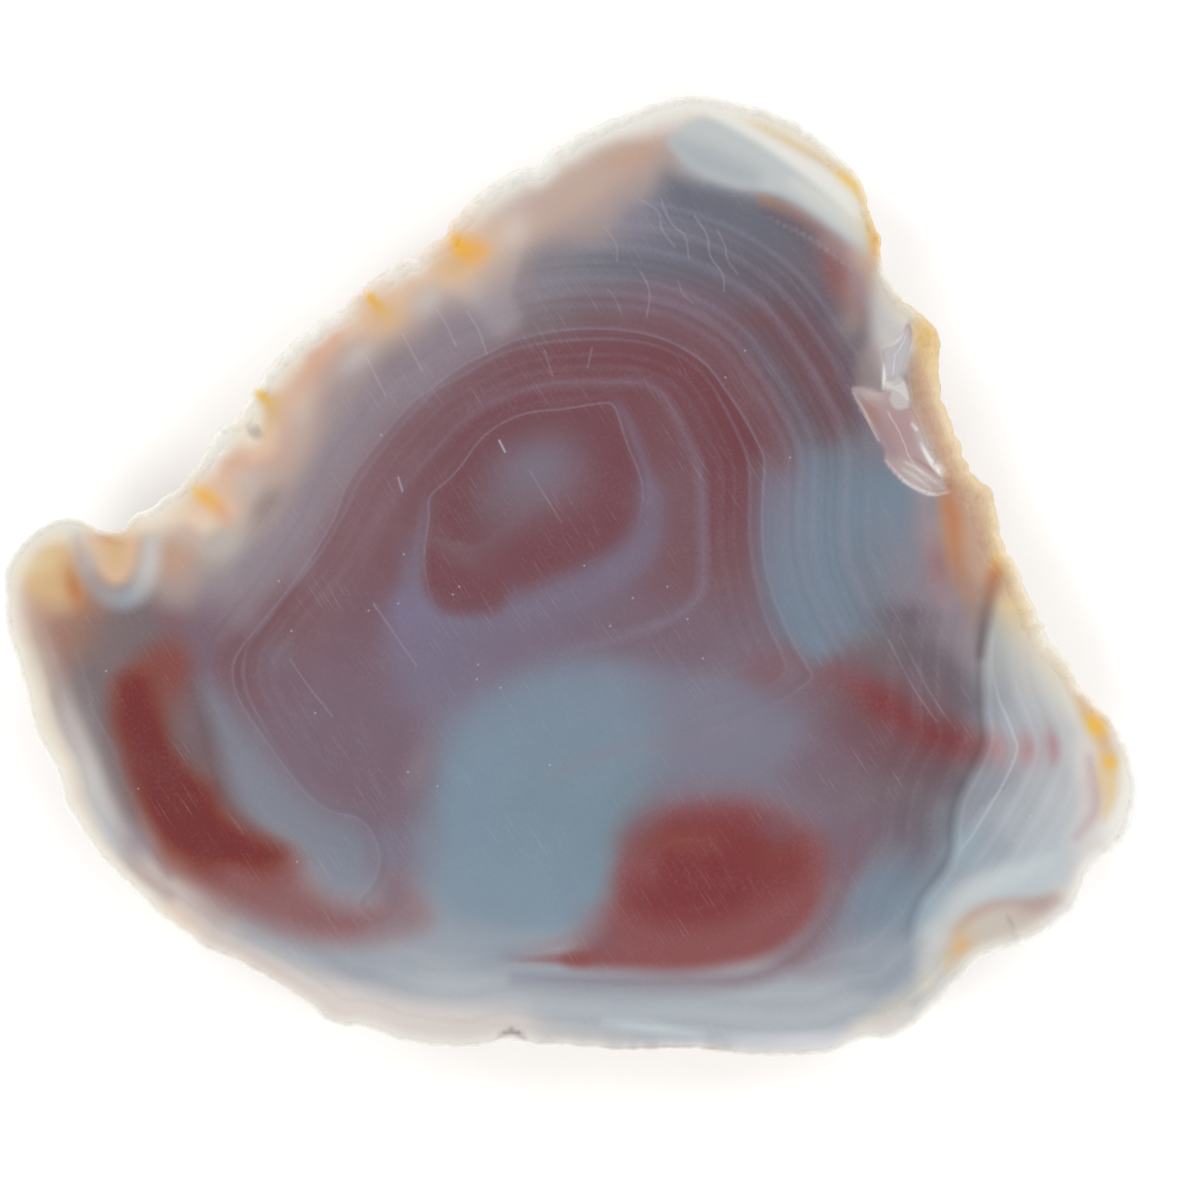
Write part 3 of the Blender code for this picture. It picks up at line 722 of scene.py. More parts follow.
def basin(face):
    """The ground colours of the whole face, from the middle outwards."""
    face.ground((
        # main basin, outside the lilac contour
        ("garnet", (12.3, 9.5), (9, 14), (5, 15.6), "maroon", (0, 15.6), (-4, 14.8), "plum", (-8, 12.6),
         (-11, 9.6), "heather", (-14.5, 4.8), (-17.8, 0.2), "plum", (-21.5, -5), "mauve", (-19.5, -9.5),
         (-17, -12.5), (-13.6, -16)),
        ("garnet", (11.6, 9), "maroon", (11.4, 4), "plum", (11.6, 0), "mauve", (13, -4), "heather",
         (14, -6.6)),
        ("plum", (-12.8, 1), (-14.5, -2), (-15.5, -5), "mauve", (-14.5, -9), (-12.5, -13),
         (-11.5, -18)),
        # between the lilac contour and the eye
        ("plum", (-10.6, 4.5), (-8.5, 8.7), "maroon", (-4.5, 12.2), (0, 12.8), (4, 12.2), (6.6, 8),
         (7.4, 4), "plum", (7, 0.5), "mauve", (4, -1.9)),
        ("garnet", (-8, 4.5), (-6, 8), (-2, 10.4), (2, 10), (3.5, 6.5), (3, 3.5), (0, 2), "maroon",
         (-3, 0.8), (-7, -0.4), "plum", (-9, 0.5)),
        ("periwinkle", (-11.5, -2.4), "lilac", (-7, -3.6), (-2, -2.5), (2.5, -0.2), (5.4, 2.6),
         (6, 5.6)),
        ("lilac", (-10, -6.5), (-5, -4.8), (-0.5, -3.6), "mauve", (4, -3.4), (9, -4.6)),
        # pool
        ("pool_pale", (-7, -22), "pool", (-7, -17), (-5.5, -12), (-1.5, -9), (3, -8.6), "lilac_grey",
         (8, -8.9), (12.5, -9.3)),
        ("pool_pale", (-3.6, -22), "pool_deep", (-3, -17.5), (0, -13.5), (3.5, -12.4), "lilac_grey",
         (9.2, -12.6), (14, -11.5)),
        ("pool", (0.5, -23), "pool_deep", (0.8, -19), (3, -15.5)),
        # foot bands
        ("fog", (-9.4, -26), (-3, -28.3), (3, -29), (9.2, -29.2), (15, -29.4), "pale_fog", (19.9, -31)),
        ("pale_fog", (-12.2, -28.4), (-5, -29.8), (2, -31.2), (9, -31.2), (16, -31.6)),
        ("fog", (-22.9, -25.4), (-17.2, -27.4), (-12, -28)),
        ("mauve_grey", (16.4, -27.2), (19, -24.5), "teal", (22.2, -23.2), (25, -20.3), "slate_blue",
         (26.3, -18)),
        ("fog", (21, -28), (24, -26)),
        # lower right, between the blob and the dark edge
        ("mauve", (17.6, -13), (20, -14.8), "umber", (24.6, -16), "dusk", (27.2, -15)),
        ("mauve", (19.2, -20), (21, -18), (23, -16.5)),
        ("plum", (17.5, -9.4), "mauve", (20.6, -12.2), (23.5, -13.8), "dusk", (26, -14)),
        ("slate_blue", (27.2, -17.2), (26.6, -19.8), "teal", (25.2, -22.2), (23.8, -25)),
        # right side
        ("lilac_grey", (14.9, 7), (14.8, 3), "teal", (15.7, -1.8), (17.5, -5)),
        ("teal", (17.2, 8), (17.3, 4), (18.2, -0.5), (20, -3.4)),
        ("slate_blue", (19, 9.5), "teal", (19.6, 5.4), (21.4, 1.2), "slate_blue", (21.6, -3)),
        ("teal", (22.4, 5.4), (23.3, 1.2), "mauve_grey", (24.6, -2.4)),
        ("umber", (20.5, -5.5), (23.5, -4.8), "dusk", (26.4, -6.4), (28.3, -9)),
        ("mauve_grey", (27, -1.8), (28, -5)),
        # crown
        ("umber", (-2.5, 18.6), (2, 18.9), "mauve", (7, 19.4), (12, 18.2), "dusk", (15.5, 14.5),
         (17.5, 10)),
        ("plum", (2, 17.9), (7.2, 17.9), (11, 15.6), (14, 11), (15, 8)),
        ("slate_blue", (-1.5, 21.4), (2, 22), "slate", (7, 22.4), (10, 22), "dusk", (15, 20.2),
         (18.6, 15.4), (19, 11.6)),
        ("lilac_grey", (4.8, 25.6), "slate", (9.2, 26.4), (12.3, 25.4), (13.7, 22.6), "dusk",
         (16.4, 19.2)),
        ("haze", (1, 25), (4.6, 27.8), (6.6, 29.6)),
        ("mauve_grey", (-10.8, 14), (-6.8, 17.4), (-3, 19.6)),
        # upper left slope, from the line outwards
        ("mauve_grey", (-22.9, 0.6), (-19.8, 3.6), (-17.6, 7.4), (-14.6, 11.6), (-10.8, 15), (-7, 18)),
        ("haze", (-22.4, 3.6), (-20.6, 6.1), (-17.4, 11.8), (-13.6, 16), (-9.2, 19.4), (-5, 20.4),
         "mauve_grey", (-1, 21.6)),
        ("haze", (-27.5, -0.4), (-25, 1.6), "sage", (-24.6, 3), "rose_haze", (-22.5, 6.8), (-19, 12.6),
         (-15.5, 16.8), (-10, 20.6), "haze", (-4.6, 21.4)),
        ("salmon", (-28, 3.9), (-25.6, 5.8), "peach", (-22.6, 8.7), (-20.6, 13), "salmon", (-17.4, 16),
         "peach", (-13.6, 18.8), (-10, 21.4), "rose_haze", (-3, 25), (0, 27), (4, 29.6)),
        ("crust", (-27.4, 7), (-25.2, 10.2), (-22.4, 13.8), (-18.4, 17.6), (-13.4, 21.4), (-9, 24.2),
         "bone", (-5.2, 27.6), (0, 30.4)),
        # left lobe
        ("cream", (-39, 0.2), (-37.6, 2.2), (-35.4, 3)),
        ("ochre", (-37.4, 0.8), (-37.2, -1), "clay", (-36.6, -3.6)),
        ("clay", (-34.6, -3), "umber", (-34, -5.6), (-33.9, -8.5)),
        ("umber", (-31, -2.8), (-30.2, -4.6)),
        ("tan", (-28, 1.2), "haze", (-28, -1.2), "heather", (-28.4, -3.2)),
        ("mauve_grey", (-25.6, -0.8), "mauve", (-26, -3.4), (-26.2, -6.6)),
        ("plum", (-23.6, -4.6), (-24.4, -7)),
        # left edge, from the skin inwards
        ("bone", (-39.3, -2.6), "cream", (-38.4, -6), (-37.6, -9.4), (-36, -13), (-34.2, -17.2),
         (-31.6, -20.7), "bone", (-27.5, -24.2), (-22, -27.4), (-16.5, -30.2), (-10, -32), (-4, -31.9)),
        ("clay", (-36.6, -5), "haze", (-36.2, -8), "mist", (-35.7, -10.4), (-34.7, -13), (-33.6, -15.6),
         "bone", (-31.6, -18.6), (-28.6, -21.7), "haze", (-25, -24.2)),
        ("umber", (-34.9, -6.4), (-34.3, -8.6), (-33.6, -11.6), (-32.9, -14.4), (-31.9, -17)),
        # right edge and lobe
        ("straw", (31.3, 1.4), (32.4, -1), (33.6, -3.4), (35.4, -6.6)),
        ("tan", (31, -0.6), "straw", (31.2, -2.2), "sage", (30.5, -4), (30.3, -7), "fog", (30, -9.4)),
        ("cream", (33.2, -4.6), "buff", (34.4, -7), (35.9, -9.4)),
        ("mist", (32, -5), (33, -8), "pale_fog", (35, -11.5)),
        ("pale_fog", (31.6, -10.4), (34, -12.5), (35.6, -15.9), (34.2, -18.4)),
        ("fog", (29, -15), (28.2, -17.6), "pale_fog", (31, -17), (32.6, -19.6), (34.6, -19)),
        ("bone", (36.4, -11.8), (36.7, -15.6), (36.4, -19)),
        ("chalk", (38.8, -12.4), (39.6, -15.2), (38.9, -18)),
        ("fog", (30.6, -19.6), (28.4, -20.4), (27, -22)),
        ("ice", (35.4, -18.6), (33, -20.6), (30, -21.7), (27.6, -23.1), (26.2, -25.4)),
        # top and right shoulder
        ("ice", (8.5, 30), (11.4, 29.2), (15, 28.2), (17.8, 26.3), (20.7, 23.6)),
        ("bone", (5.4, 32), (9.2, 32.6)),
        ("cream", (13.5, 32.2), (17.4, 30.2), (19.8, 27.8)),
        ("dusk", (14.4, 25.4), (16.6, 24), (18.6, 21.6), (19.6, 18.6), (20, 14.6)),
        ("mist", (22.6, 19.6), (23, 17)),
    ))


def left_lobe(face):
    """The golden lobe on the left and the pale loop beside it."""
    face.spot("tan", 0.8, -36.9, -2.2, 1.6, 1.2)
    face.spot("clay", 0.7, -35.6, -4.2, 1.8, 1.6)
    face.patch("ochre", 0.95, 0.6, (-38.8, 0.2), (-38.2, 1.2), (-37, 1.9), (-36, 2.1), (-35.5, 1.4),
               (-35.1, 0.2), (-34.8, -1.2), (-35.6, -2.1, 1.2), (-37.2, -2, 1.2), (-38.6, -1.2, 1.0))
    face.spot("straw", 0.7, -37.4, 1.1, 1.5, 0.8, 20)
    face.spot("rust", 0.95, -35.3, -0.9, 0.6, 1.4, 15)
    face.spot("umber", 0.6, -32.2, -3.8, 2.2, 1.4)
    face.spot("tan", 0.7, -28.2, 1.4, 1.3, 1.5)
    # the loop of pale stone round the orange tube end, which runs on to the right
    face.patch("peach", 0.9, 0.6, (-34.4, 3.2), (-34.2, 1.2), (-33, -0.5), (-31.8, -0.5), (-31, 1),
               (-31, 3.2), (-32.6, 3.4))
    face.patch("cream", 0.8, 0.8, (-31.2, 3.2), (-29.6, 2.8), (-27.4, 3.6), (-26, 3), (-25, 4.4),
               (-26.4, 6.4), (-28.6, 5.8), (-30.6, 4.6))
    face.streak(0.6, 1.1, "mist", (-29.6, 2.3, 0.4), (-28.6, 3.1, 0.4), (-27, 2.6, 0.5),
                (-25.6, 1.9, 0.6), (-24.3, 2.3, 0.7), (-23.4, 3.8, 0.7), (-22.9, 5.4, 0.7),
                (-22, 6.9, 0.7), "rose_haze", (-20.6, 7.8, 0.7), (-19.6, 9.6, 0.6), (-19, 12, 0.3))
    face.streak(0.9, 0.7, "mist", (-35.2, 3.0, 0.5), "rose_haze", (-35.0, 1.7, 0.5), "haze",
                (-34.3, 0.0, 0.6), (-33.2, -1.3, 0.7), "fog", (-32, -1.6, 0.8), (-30.9, -1.1, 0.8),
                "mist", (-30.1, 0.5, 0.8), (-29.9, 2.3, 0.6))
    face.spot("ochre", 0.95, -32.4, 2.0, 0.9, 1.7)
    face.spot("rust", 0.5, -33.3, 2.7, 0.9, 0.25, -15)


def slope(face):
    """The upper left slope, with the ends of orange tubes just under the crust."""
    face.spot("umber", 0.4, -21.7, 5.4, 0.7, 1.6, -30)
    face.streak(0.7, 1.0, "peach", (-21.6, 14.2, 0.6), (-19.4, 15.8, 0.7), (-16.8, 17.6, 0.6),
                (-13, 19.4, 0.8), (-10.4, 21.2, 0.7), (-8, 22.6, 0.6))
    face.streak(0.7, 0.7, "salmon", (-18.8, 14.2, 0.3), (-18, 15.6, 0.8), (-17, 16.8, 0.7),
                (-15.8, 17.8, 0.3))
    face.streak(0.6, 0.7, "salmon", (-24.4, 7.8, 0.5), (-22.8, 8.2, 0.8), (-21.2, 8.4, 0.5),
                (-20.4, 9.6, 0.4), (-20.2, 11.4, 0.3))
    face.spot("umber", 0.3, -12.6, 15.2, 1.4, 0.8, 40)
    face.spot("mist", 0.6, -15.2, 15.6, 1.6, 0.8, 45)
    face.spot("mist", 0.75, -10.2, 19.6, 1.5, 0.9, 45)
    face.spot("peach", 0.6, -19.5, 12.4, 1.0, 1.6, -30)
    face.spot("bone", 0.6, -19.8, 16.2, 1.5, 0.7, 40)
    face.spot("rose_haze", 0.7, -21.5, 7.0, 1.6, 0.9, 20)
    # the pale bluish window between the fourth tube and the bands
    face.patch("mist", 0.25, 0.8, (-8.6, 20.9, 1), (-6.4, 21.4), (-4.6, 23.4), (-3.4, 24.3, 1),
               (-3.6, 22.4, 0.4), (-4.2, 20.2, 0.4), (-3.6, 18, 0.7), (-4.9, 16.9, 0.7), (-6, 17.6),
               (-7.2, 19.4))


def tube_ends(face):
    """The ends of orange tubes that reach the crust, one of them open."""
    for x, y, size in ((-26, 5.4, 1.6), (-24.6, 4.6, 1.0), (-13.5, 18.8, 1.8), (-7.4, 23.1, 2.2),
                       (-8.4, 21.8, 1.2)):
        face.spot("peach", 0.9, x, y, size, size * 0.9, 40)
    face.streak(0.75, 0.7, "gold", (-26.8, 6.2, 0.1), (-26.3, 5.8, 0.4), "amber", (-25.4, 5.1, 0.4),
                "salmon", (-24.7, 4.3, 0.4), (-24.3, 3.7, 0.2))
    face.spot("buff", 0.7, -27.4, 6.6, 0.9, 0.6, 45)
    face.spot("cream", 0.95, -22.6, 10.2, 1.1)
    face.patch("ochre", 0.7, 0.6, (-22.4, 13.1), (-20.6, 12.9), (-20.6, 11.8), (-21.2, 10.2),
               (-21.9, 9.7), (-21.8, 11.4))
    face.streak(0.8, 0.4, "gold", (-22.2, 12.9, 0.15), (-21.6, 12.4, 0.3), "ochre", (-21.2, 11.6, 0.2))
    face.streak(0.7, 0.6, "peach", (-21.3, 10.4, 0.3), (-21.5, 9.2, 0.5), (-22.4, 8.5, 0.3))
    face.patch("haze", 0.6, 0.25, (-23, 10.5), (-22.5, 10.7), (-22, 10.4), (-22, 9.9), (-22.5, 9.7),
               (-22.9, 10))
    face.streak(0.9, 0.5, "gold", (-14.3, 19.8, 0.2), "amber", (-13.8, 19.2, 0.35), "gold",
                (-13.3, 18.8, 0.2))
    face.spot("ochre", 0.7, -13.2, 18.4, 1.2, 0.9)
    face.patch("amber", 0.75, 0.8, (-8.3, 24), (-7, 23.9), (-5.9, 23.3), (-6.4, 22.5), (-7.2, 22.1),
               (-8.2, 22.5))
    face.spot("ochre", 0.8, -8.2, 22.0, 1.0, 0.8)
    face.spot("gold", 0.6, -7.9, 23.4, 0.7, 0.4, -60)


def crescent(face):
    """The red crescent on the left, the blue tongue inside it and the pale bands outside it."""
    face.streak(0.9, 0.9, "haze", (-36.8, -8.6, 0.1), (-35.6, -11.4, 0.5), "mist", (-34.4, -14, 0.7),
                (-33.7, -16.4, 0.7), "window", (-32.6, -18.8, 0.6), "haze", (-31, -21, 0.4),
                (-28.6, -22.8, 0.2))
    face.streak(0.8, 0.8, "umber", (-33.4, -9.6, 0.3), (-32.6, -12.6, 0.3), (-31.6, -16, 0.3),
                (-30.5, -18.6, 0.3), (-28.6, -21.2, 0.1))
    face.patch("tongue", 0.75, 1.8, (-26.4, -8.4), (-25.2, -8), (-23.9, -9.4), (-22.3, -11.8),
               (-20.6, -14), (-18.8, -15.8), (-17, -17), (-15.2, -17.8), (-14.2, -19.4), (-14.2, -21.4),
               (-15.2, -22.6), (-17.2, -22.6), (-18.6, -21), (-20.4, -19.2), (-23, -18), (-24.6, -16),
               (-25.4, -13.4), (-26.4, -11))
    face.patch("faded_rose", 0.9, 1.5, (-27.5, -18.5), (-24, -19), (-21.5, -19.4), (-19.6, -20.2),
               (-18.7, -21.8), (-17.2, -23), (-15, -23.6), (-13, -23.2, 2.2), (-11.4, -23.8, 2.4),
               (-11.2, -24.8, 2.2), (-12.6, -25.4, 2), (-15, -26), (-18, -26), (-21, -25.2),
               (-24, -23.8), (-26.5, -22), (-28.6, -19.8))
    face.streak(0.7, 1.2, "dark_umber", (-27, -8, 0.1), (-26.2, -11, 0.6), (-25.5, -14, 0.8),
                (-24.4, -16.4, 0.7), (-22.6, -18.2, 0.3), (-20.6, -19.6, 0.1))
    face.patch("soft_brick", 0.9, 1.3, (-28.3, -4.9, 1.6), (-27.3, -6), (-27.6, -8.5), (-27.9, -11),
               (-27.2, -13.6), (-25.4, -16), (-23.4, -17.8), (-21.5, -18.8), (-20, -20.2, 1.8),
               (-21.6, -22, 1.8), (-25, -22), (-28.2, -20.8), (-29.9, -18.6), (-30.9, -16),
               (-31.8, -13), (-32.6, -10.4), (-32.7, -8), (-31.6, -6.4), (-29.8, -5.1))
    face.patch("brick", 0.9, 1.3, (-32, -7.6), (-30.4, -7.4), (-29.6, -9.4), (-28.4, -12), (-27, -13.8),
               (-25.6, -15.2), (-24.8, -17.2), (-22.6, -18.8), (-20.8, -19.9), (-23, -20.8, 1.6),
               (-25.8, -20.6), (-28, -19.8), (-29.7, -17.6), (-30.8, -15), (-31.7, -12.4), (-32.3, -10))


def pool(face):
    """The blue pool in the middle of the lower half and the red blob to its right."""
    face.patch("pool", 0.7, 2.6, (-8.4, -12.2, 3), (-9.8, -14.6), (-10.4, -17), (-10.4, -19.6),
               (-9.6, -22.4), (-7.6, -24.8), (-3, -25.6, 2), (0, -24.6, 2), (1.4, -22.6, 2),
               (2.2, -19, 2), (3, -16.4, 2), (4.4, -14.6, 2), (6, -13, 2), (5.6, -9.6, 3),
               (3.8, -7.4, 3), (1.6, -6.8, 3), (-1, -7.2, 3), (-3.6, -8.4, 3), (-6.2, -10.2, 3))
    face.streak(0.45, 1.6, "dusty_rose", (-13.4, -20.4, 0.3), (-12.4, -21.8, 0.7), (-11.2, -23.2, 0.7),
                (-10.2, -24.4, 0.2))
    face.streak(0.7, 0.9, "lilac_grey", (-4, -28.7, 0.2), (1, -28.9, 0.4), (8, -29, 0.5),
                (13, -28.6, 0.5), "heather", (16.6, -26.6, 0.5), (18.8, -23.4, 0.5), (20, -20.6, 0.3),
                (20.4, -18, 0.1))
    face.streak(0.45, 0.9, "dusty_rose", (-4.5, -26.8, 0.1), (-1.5, -26.4, 0.3), (1, -25.4, 0.5),
                (2.2, -24, 0.4))
    face.patch("rose", 0.95, 1.6, (4.4, -18.6, 2.4), (6.2, -16.8, 2.6), (8.8, -16, 2.6),
               (12, -15.9, 2.2), (15, -17.2, 2), (17.6, -18.6), (18.4, -21), (17.6, -23.8, 0.9),
               (15.8, -25.9, 0.8), (13, -27.4, 0.8), (8, -28.2, 0.8), (3, -28, 0.7), (0, -27.8, 0.6),
               (-0.6, -27.2, 0.6), (0.6, -26.4, 1.1), (1.8, -25, 1.5), (2.7, -23, 1.5),
               (3.4, -20.8, 1.6))
    face.streak(0.75, 0.4, "dusty_rose", (-5, -27.2, 0.05), "rose", (-2.6, -27.3, 0.2), (1, -27.3, 0.5))
    face.patch("blood", 0.95, 1.6, (5.6, -18.4, 2), (8, -17.2, 2.2), (10.6, -17, 2.2), (13.5, -17.5, 2),
               (16, -19), (16.2, -21.2), (14.4, -22.6), (12.6, -23.8), (9, -24.8), (5.2, -24.2),
               (3.9, -22.2), (4.3, -20))


def foot(face):
    """The pale bands at the bottom."""
    face.streak(0.6, 0.8, "bone", (-16, -31.2, 0.4), (-10, -32.2, 0.5), "mist", (-5, -32, 0.4),
                (0, -32.4, 0.3), (4, -32.8, 0.1))
    face.streak(0.7, 0.5, "mist", (14, -33.4, 0.2), "window", (18, -33, 0.6), "bone", (22, -32.2, 0.6),
                (24, -31, 0.3))
    # the dark rind at the bottom and round the small notch
    face.streak(0.85, 0.15, "umber", (0, -33.4, 0.1), "shade", (3, -33.7, 0.15), (7, -33.6, 0.15),
                (10.5, -33.7, 0.1))
    face.spot("umber", 0.9, 11, -33.7, 0.5, 0.25)
    face.streak(0.9, 0.15, "shade", (-5.4, -33.2, 0.05), (-5, -32.8, 0.2), (-4.2, -32.5, 0.2),
                (-3.4, -32.9, 0.2), (-3.1, -33.3, 0.05))
    face.streak(0.7, 0.12, "umber", (-2.3, -33.2, 0.05), (-1.7, -33, 0.12), (-1, -33.3, 0.05))
    face.streak(0.8, 0.45, "ice", (2.4, -31.8, 0.1), (4, -32, 0.3), (6.5, -32.3, 0.35),
                (9.4, -32.7, 0.1))
    face.streak(0.6, 1.0, "cream", (20.5, -32, 0.2), (23, -30.8, 0.5), (25.4, -29, 0.5),
                (26.6, -27.6, 0.2))


def eye(face):
    """The dark eye in the middle of the upper half."""
    face.patch("maroon", 0.75, 0.7, (-9.9, 2), (-10.4, 0.4), (-10.2, -1.2), (-9.2, -2.5), (-7.4, -2.8),
               (-5, -2.4), (-5, -0.6), (-7.6, 0.4))
    face.streak(0.55, 0.6, "lilac", (-10.2, 5.4, 0.15), (-10.6, 3.4, 0.3), (-10.9, 0.6, 0.4),
                (-11.4, -1.8, 0.5))
    face.streak(0.55, 0.55, "lilac", (3.2, 12.2, 0.15), (4.3, 10.4, 0.35), (5, 8.6, 0.35),
                (5.5, 6.8, 0.3), (5.6, 5, 0.2))
    face.spot("slate_blue", 0.35, -5.4, 5.2, 2.6, 1.8, 45)
    face.spot("lilac_grey", 0.75, -2.4, 7.8, 3.0, 2.2, 20)


def right_side(face):
    """The red ridge and the stains down the right side."""
    face.patch("wine", 0.75, 2.2, (18.6, -6.8), (22, -6.4), (25.4, -7.8), (28.4, -10.8, 1.6),
               (28.6, -13.2, 1.6), (25, -14.6), (21, -13.6), (18.6, -10.4))
    face.spot("lilac_grey", 0.6, 15.8, -10.6, 2.4, 1.6, 40)
    face.spot("dusk", 0.7, 24, -3, 1.8, 1.0)
    face.spot("dusk", 0.6, 24.2, -18, 1.6, 2.4, 20)
    face.streak(0.5, 1.4, "rose", (15.4, -5.4, 0.1), (17.4, -7, 0.4), (20, -7.2, 0.6))
    face.streak(0.9, 1.6, "rose", (19, -6.8, 0.1), (20.6, -7.8, 0.5), (22.3, -9.2, 0.9),
                (24.4, -10.7, 0.9), "blood", (26.6, -11.6, 0.9), "rose", (28.7, -12.2, 0.7))
    face.spot("blood", 0.6, 22.4, -9.2, 1.4, 0.9, -30)
    face.streak(0.6, 1.2, "pink", (25, 5.6, 0.3), (25.4, 3.2, 0.6), (26, 0.4, 0.4), (26.6, -2, 0.1))
    face.patch("tan", 0.9, 0.9, (26.2, 8.4), (27.2, 8.4), (28.8, 6.6), (29.6, 3.2), (29.4, 0.6),
               (28.4, -1.6), (27.4, -0.6), (26.6, 2), (26.4, 5))
    face.streak(0.9, 0.8, "sand", (27.4, 9.2, 0.4), (28.6, 6.6, 0.7), (29.4, 4, 0.6), "tan",
                (29.3, 1.6, 0.3))
    face.streak(0.9, 0.9, "orange", (26.8, 7, 0.1), (27.0, 5.2, 0.6), (27.2, 3.6, 0.5), "rust",
                (27.4, 1.6, 0.3), "clay", (27.6, -0.6, 0.1))
    face.streak(0.9, 0.5, "straw", (30.2, 5.4, 0.3), (30.4, 3.4, 0.35), (30.9, 1.8, 0.3))
    face.streak(0.9, 0.6, "amber", (30.5, 1.4, 0.2), "rust", (30.2, 0.2, 0.5), "clay",
                (29.7, -1.6, 0.5), "umber", (29.3, -3.4, 0.4), (29.1, -5.6, 0.2))
    # the right lobe: pink on the chevrons, gold by the skin
    for x, y, width in ((30.4, -12.3, 0.6), (32.5, -12.4, 0.7), (34.3, -12.2, 0.5)):
        face.spot("pink", 0.9, x, y, width, 1.1, 10)
    face.spot("dusty_rose", 0.5, 29.6, -12.1, 0.5, 0.6)
    face.streak(0.6, 0.7, "pink", (36.9, -13, 0.1), (37.4, -15, 0.4), (37.3, -16.8, 0.3),
                (36, -18.6, 0.1))
    face.streak(0.9, 0.6, "straw", (35.4, -7.2, 0.1), "ochre", (36.6, -9.2, 0.6), "gold",
                (37.5, -10.5, 0.8), "ochre", (38, -11.8, 0.7), (38.2, -13, 0.7), "straw",
                (38.3, -14.6, 0.8), (38.3, -16.2, 0.4), (37.9, -17.4, 0.1))
    face.spot("gold", 0.8, 38.5, -13.2, 0.5)
    face.streak(0.85, 0.9, "ice", (34, -20.2, 0.1), (30.4, -21.8, 0.5), (28.2, -22.9, 0.8),
                (26.6, -24.6, 0.9), (25.6, -26.8, 0.9), "mist", (25.4, -29, 0.6))
    face.spot("rust", 0.6, 38, -19.6, 0.35)
    # the pocket of paler, stained stone at the lower right
    face.patch("dun", 0.9, 0.6, (26.9, -28.4), (26.8, -26.8), (27.4, -25.4), (28.2, -24.3),
               (29.3, -23.6), (30.6, -23.2), (32.2, -23.2), (33.8, -22.8), (34.8, -22.4), (35.2, -23.2),
               (34.2, -24.6), (32.6, -25.9), (30.6, -27), (28.8, -27.7), (27.8, -28.6))
    face.patch("buff", 0.4, 0.8, (29.4, -26.6), (30.6, -26), (32, -25.4), (33.4, -24.6), (32.2, -25.9),
               (30.4, -26.8))
    for points in (((31, -24, 0.03), (31.3, -24.8, 0.1), (31.7, -25.8, 0.05)),
                   ((31.4, -25.7, 0.1), (31.8, -25.7, 0.1)), ((29.9, -26.5, 0.07), (30.1, -26.5, 0.07))):
        face.streak(0.35, 0.15, "umber", *points)
    face.spot("pink", 0.5, 33.6, -23.5, 1.6, 0.5, 15)
    face.streak(0.7, 0.6, "ochre", (26.8, -28, 0.2), (27.0, -26.2, 0.4), "tan", (27.8, -24.9, 0.3),
                (29.2, -23.8, 0.3), (31, -23.3, 0.25), "haze", (33, -23.3, 0.3), (34.4, -22.8, 0.1))
    face.spot("ochre", 0.8, 27.6, -26.3, 0.9)
    face.spot("amber", 0.4, 27.7, -26.4, 0.4)


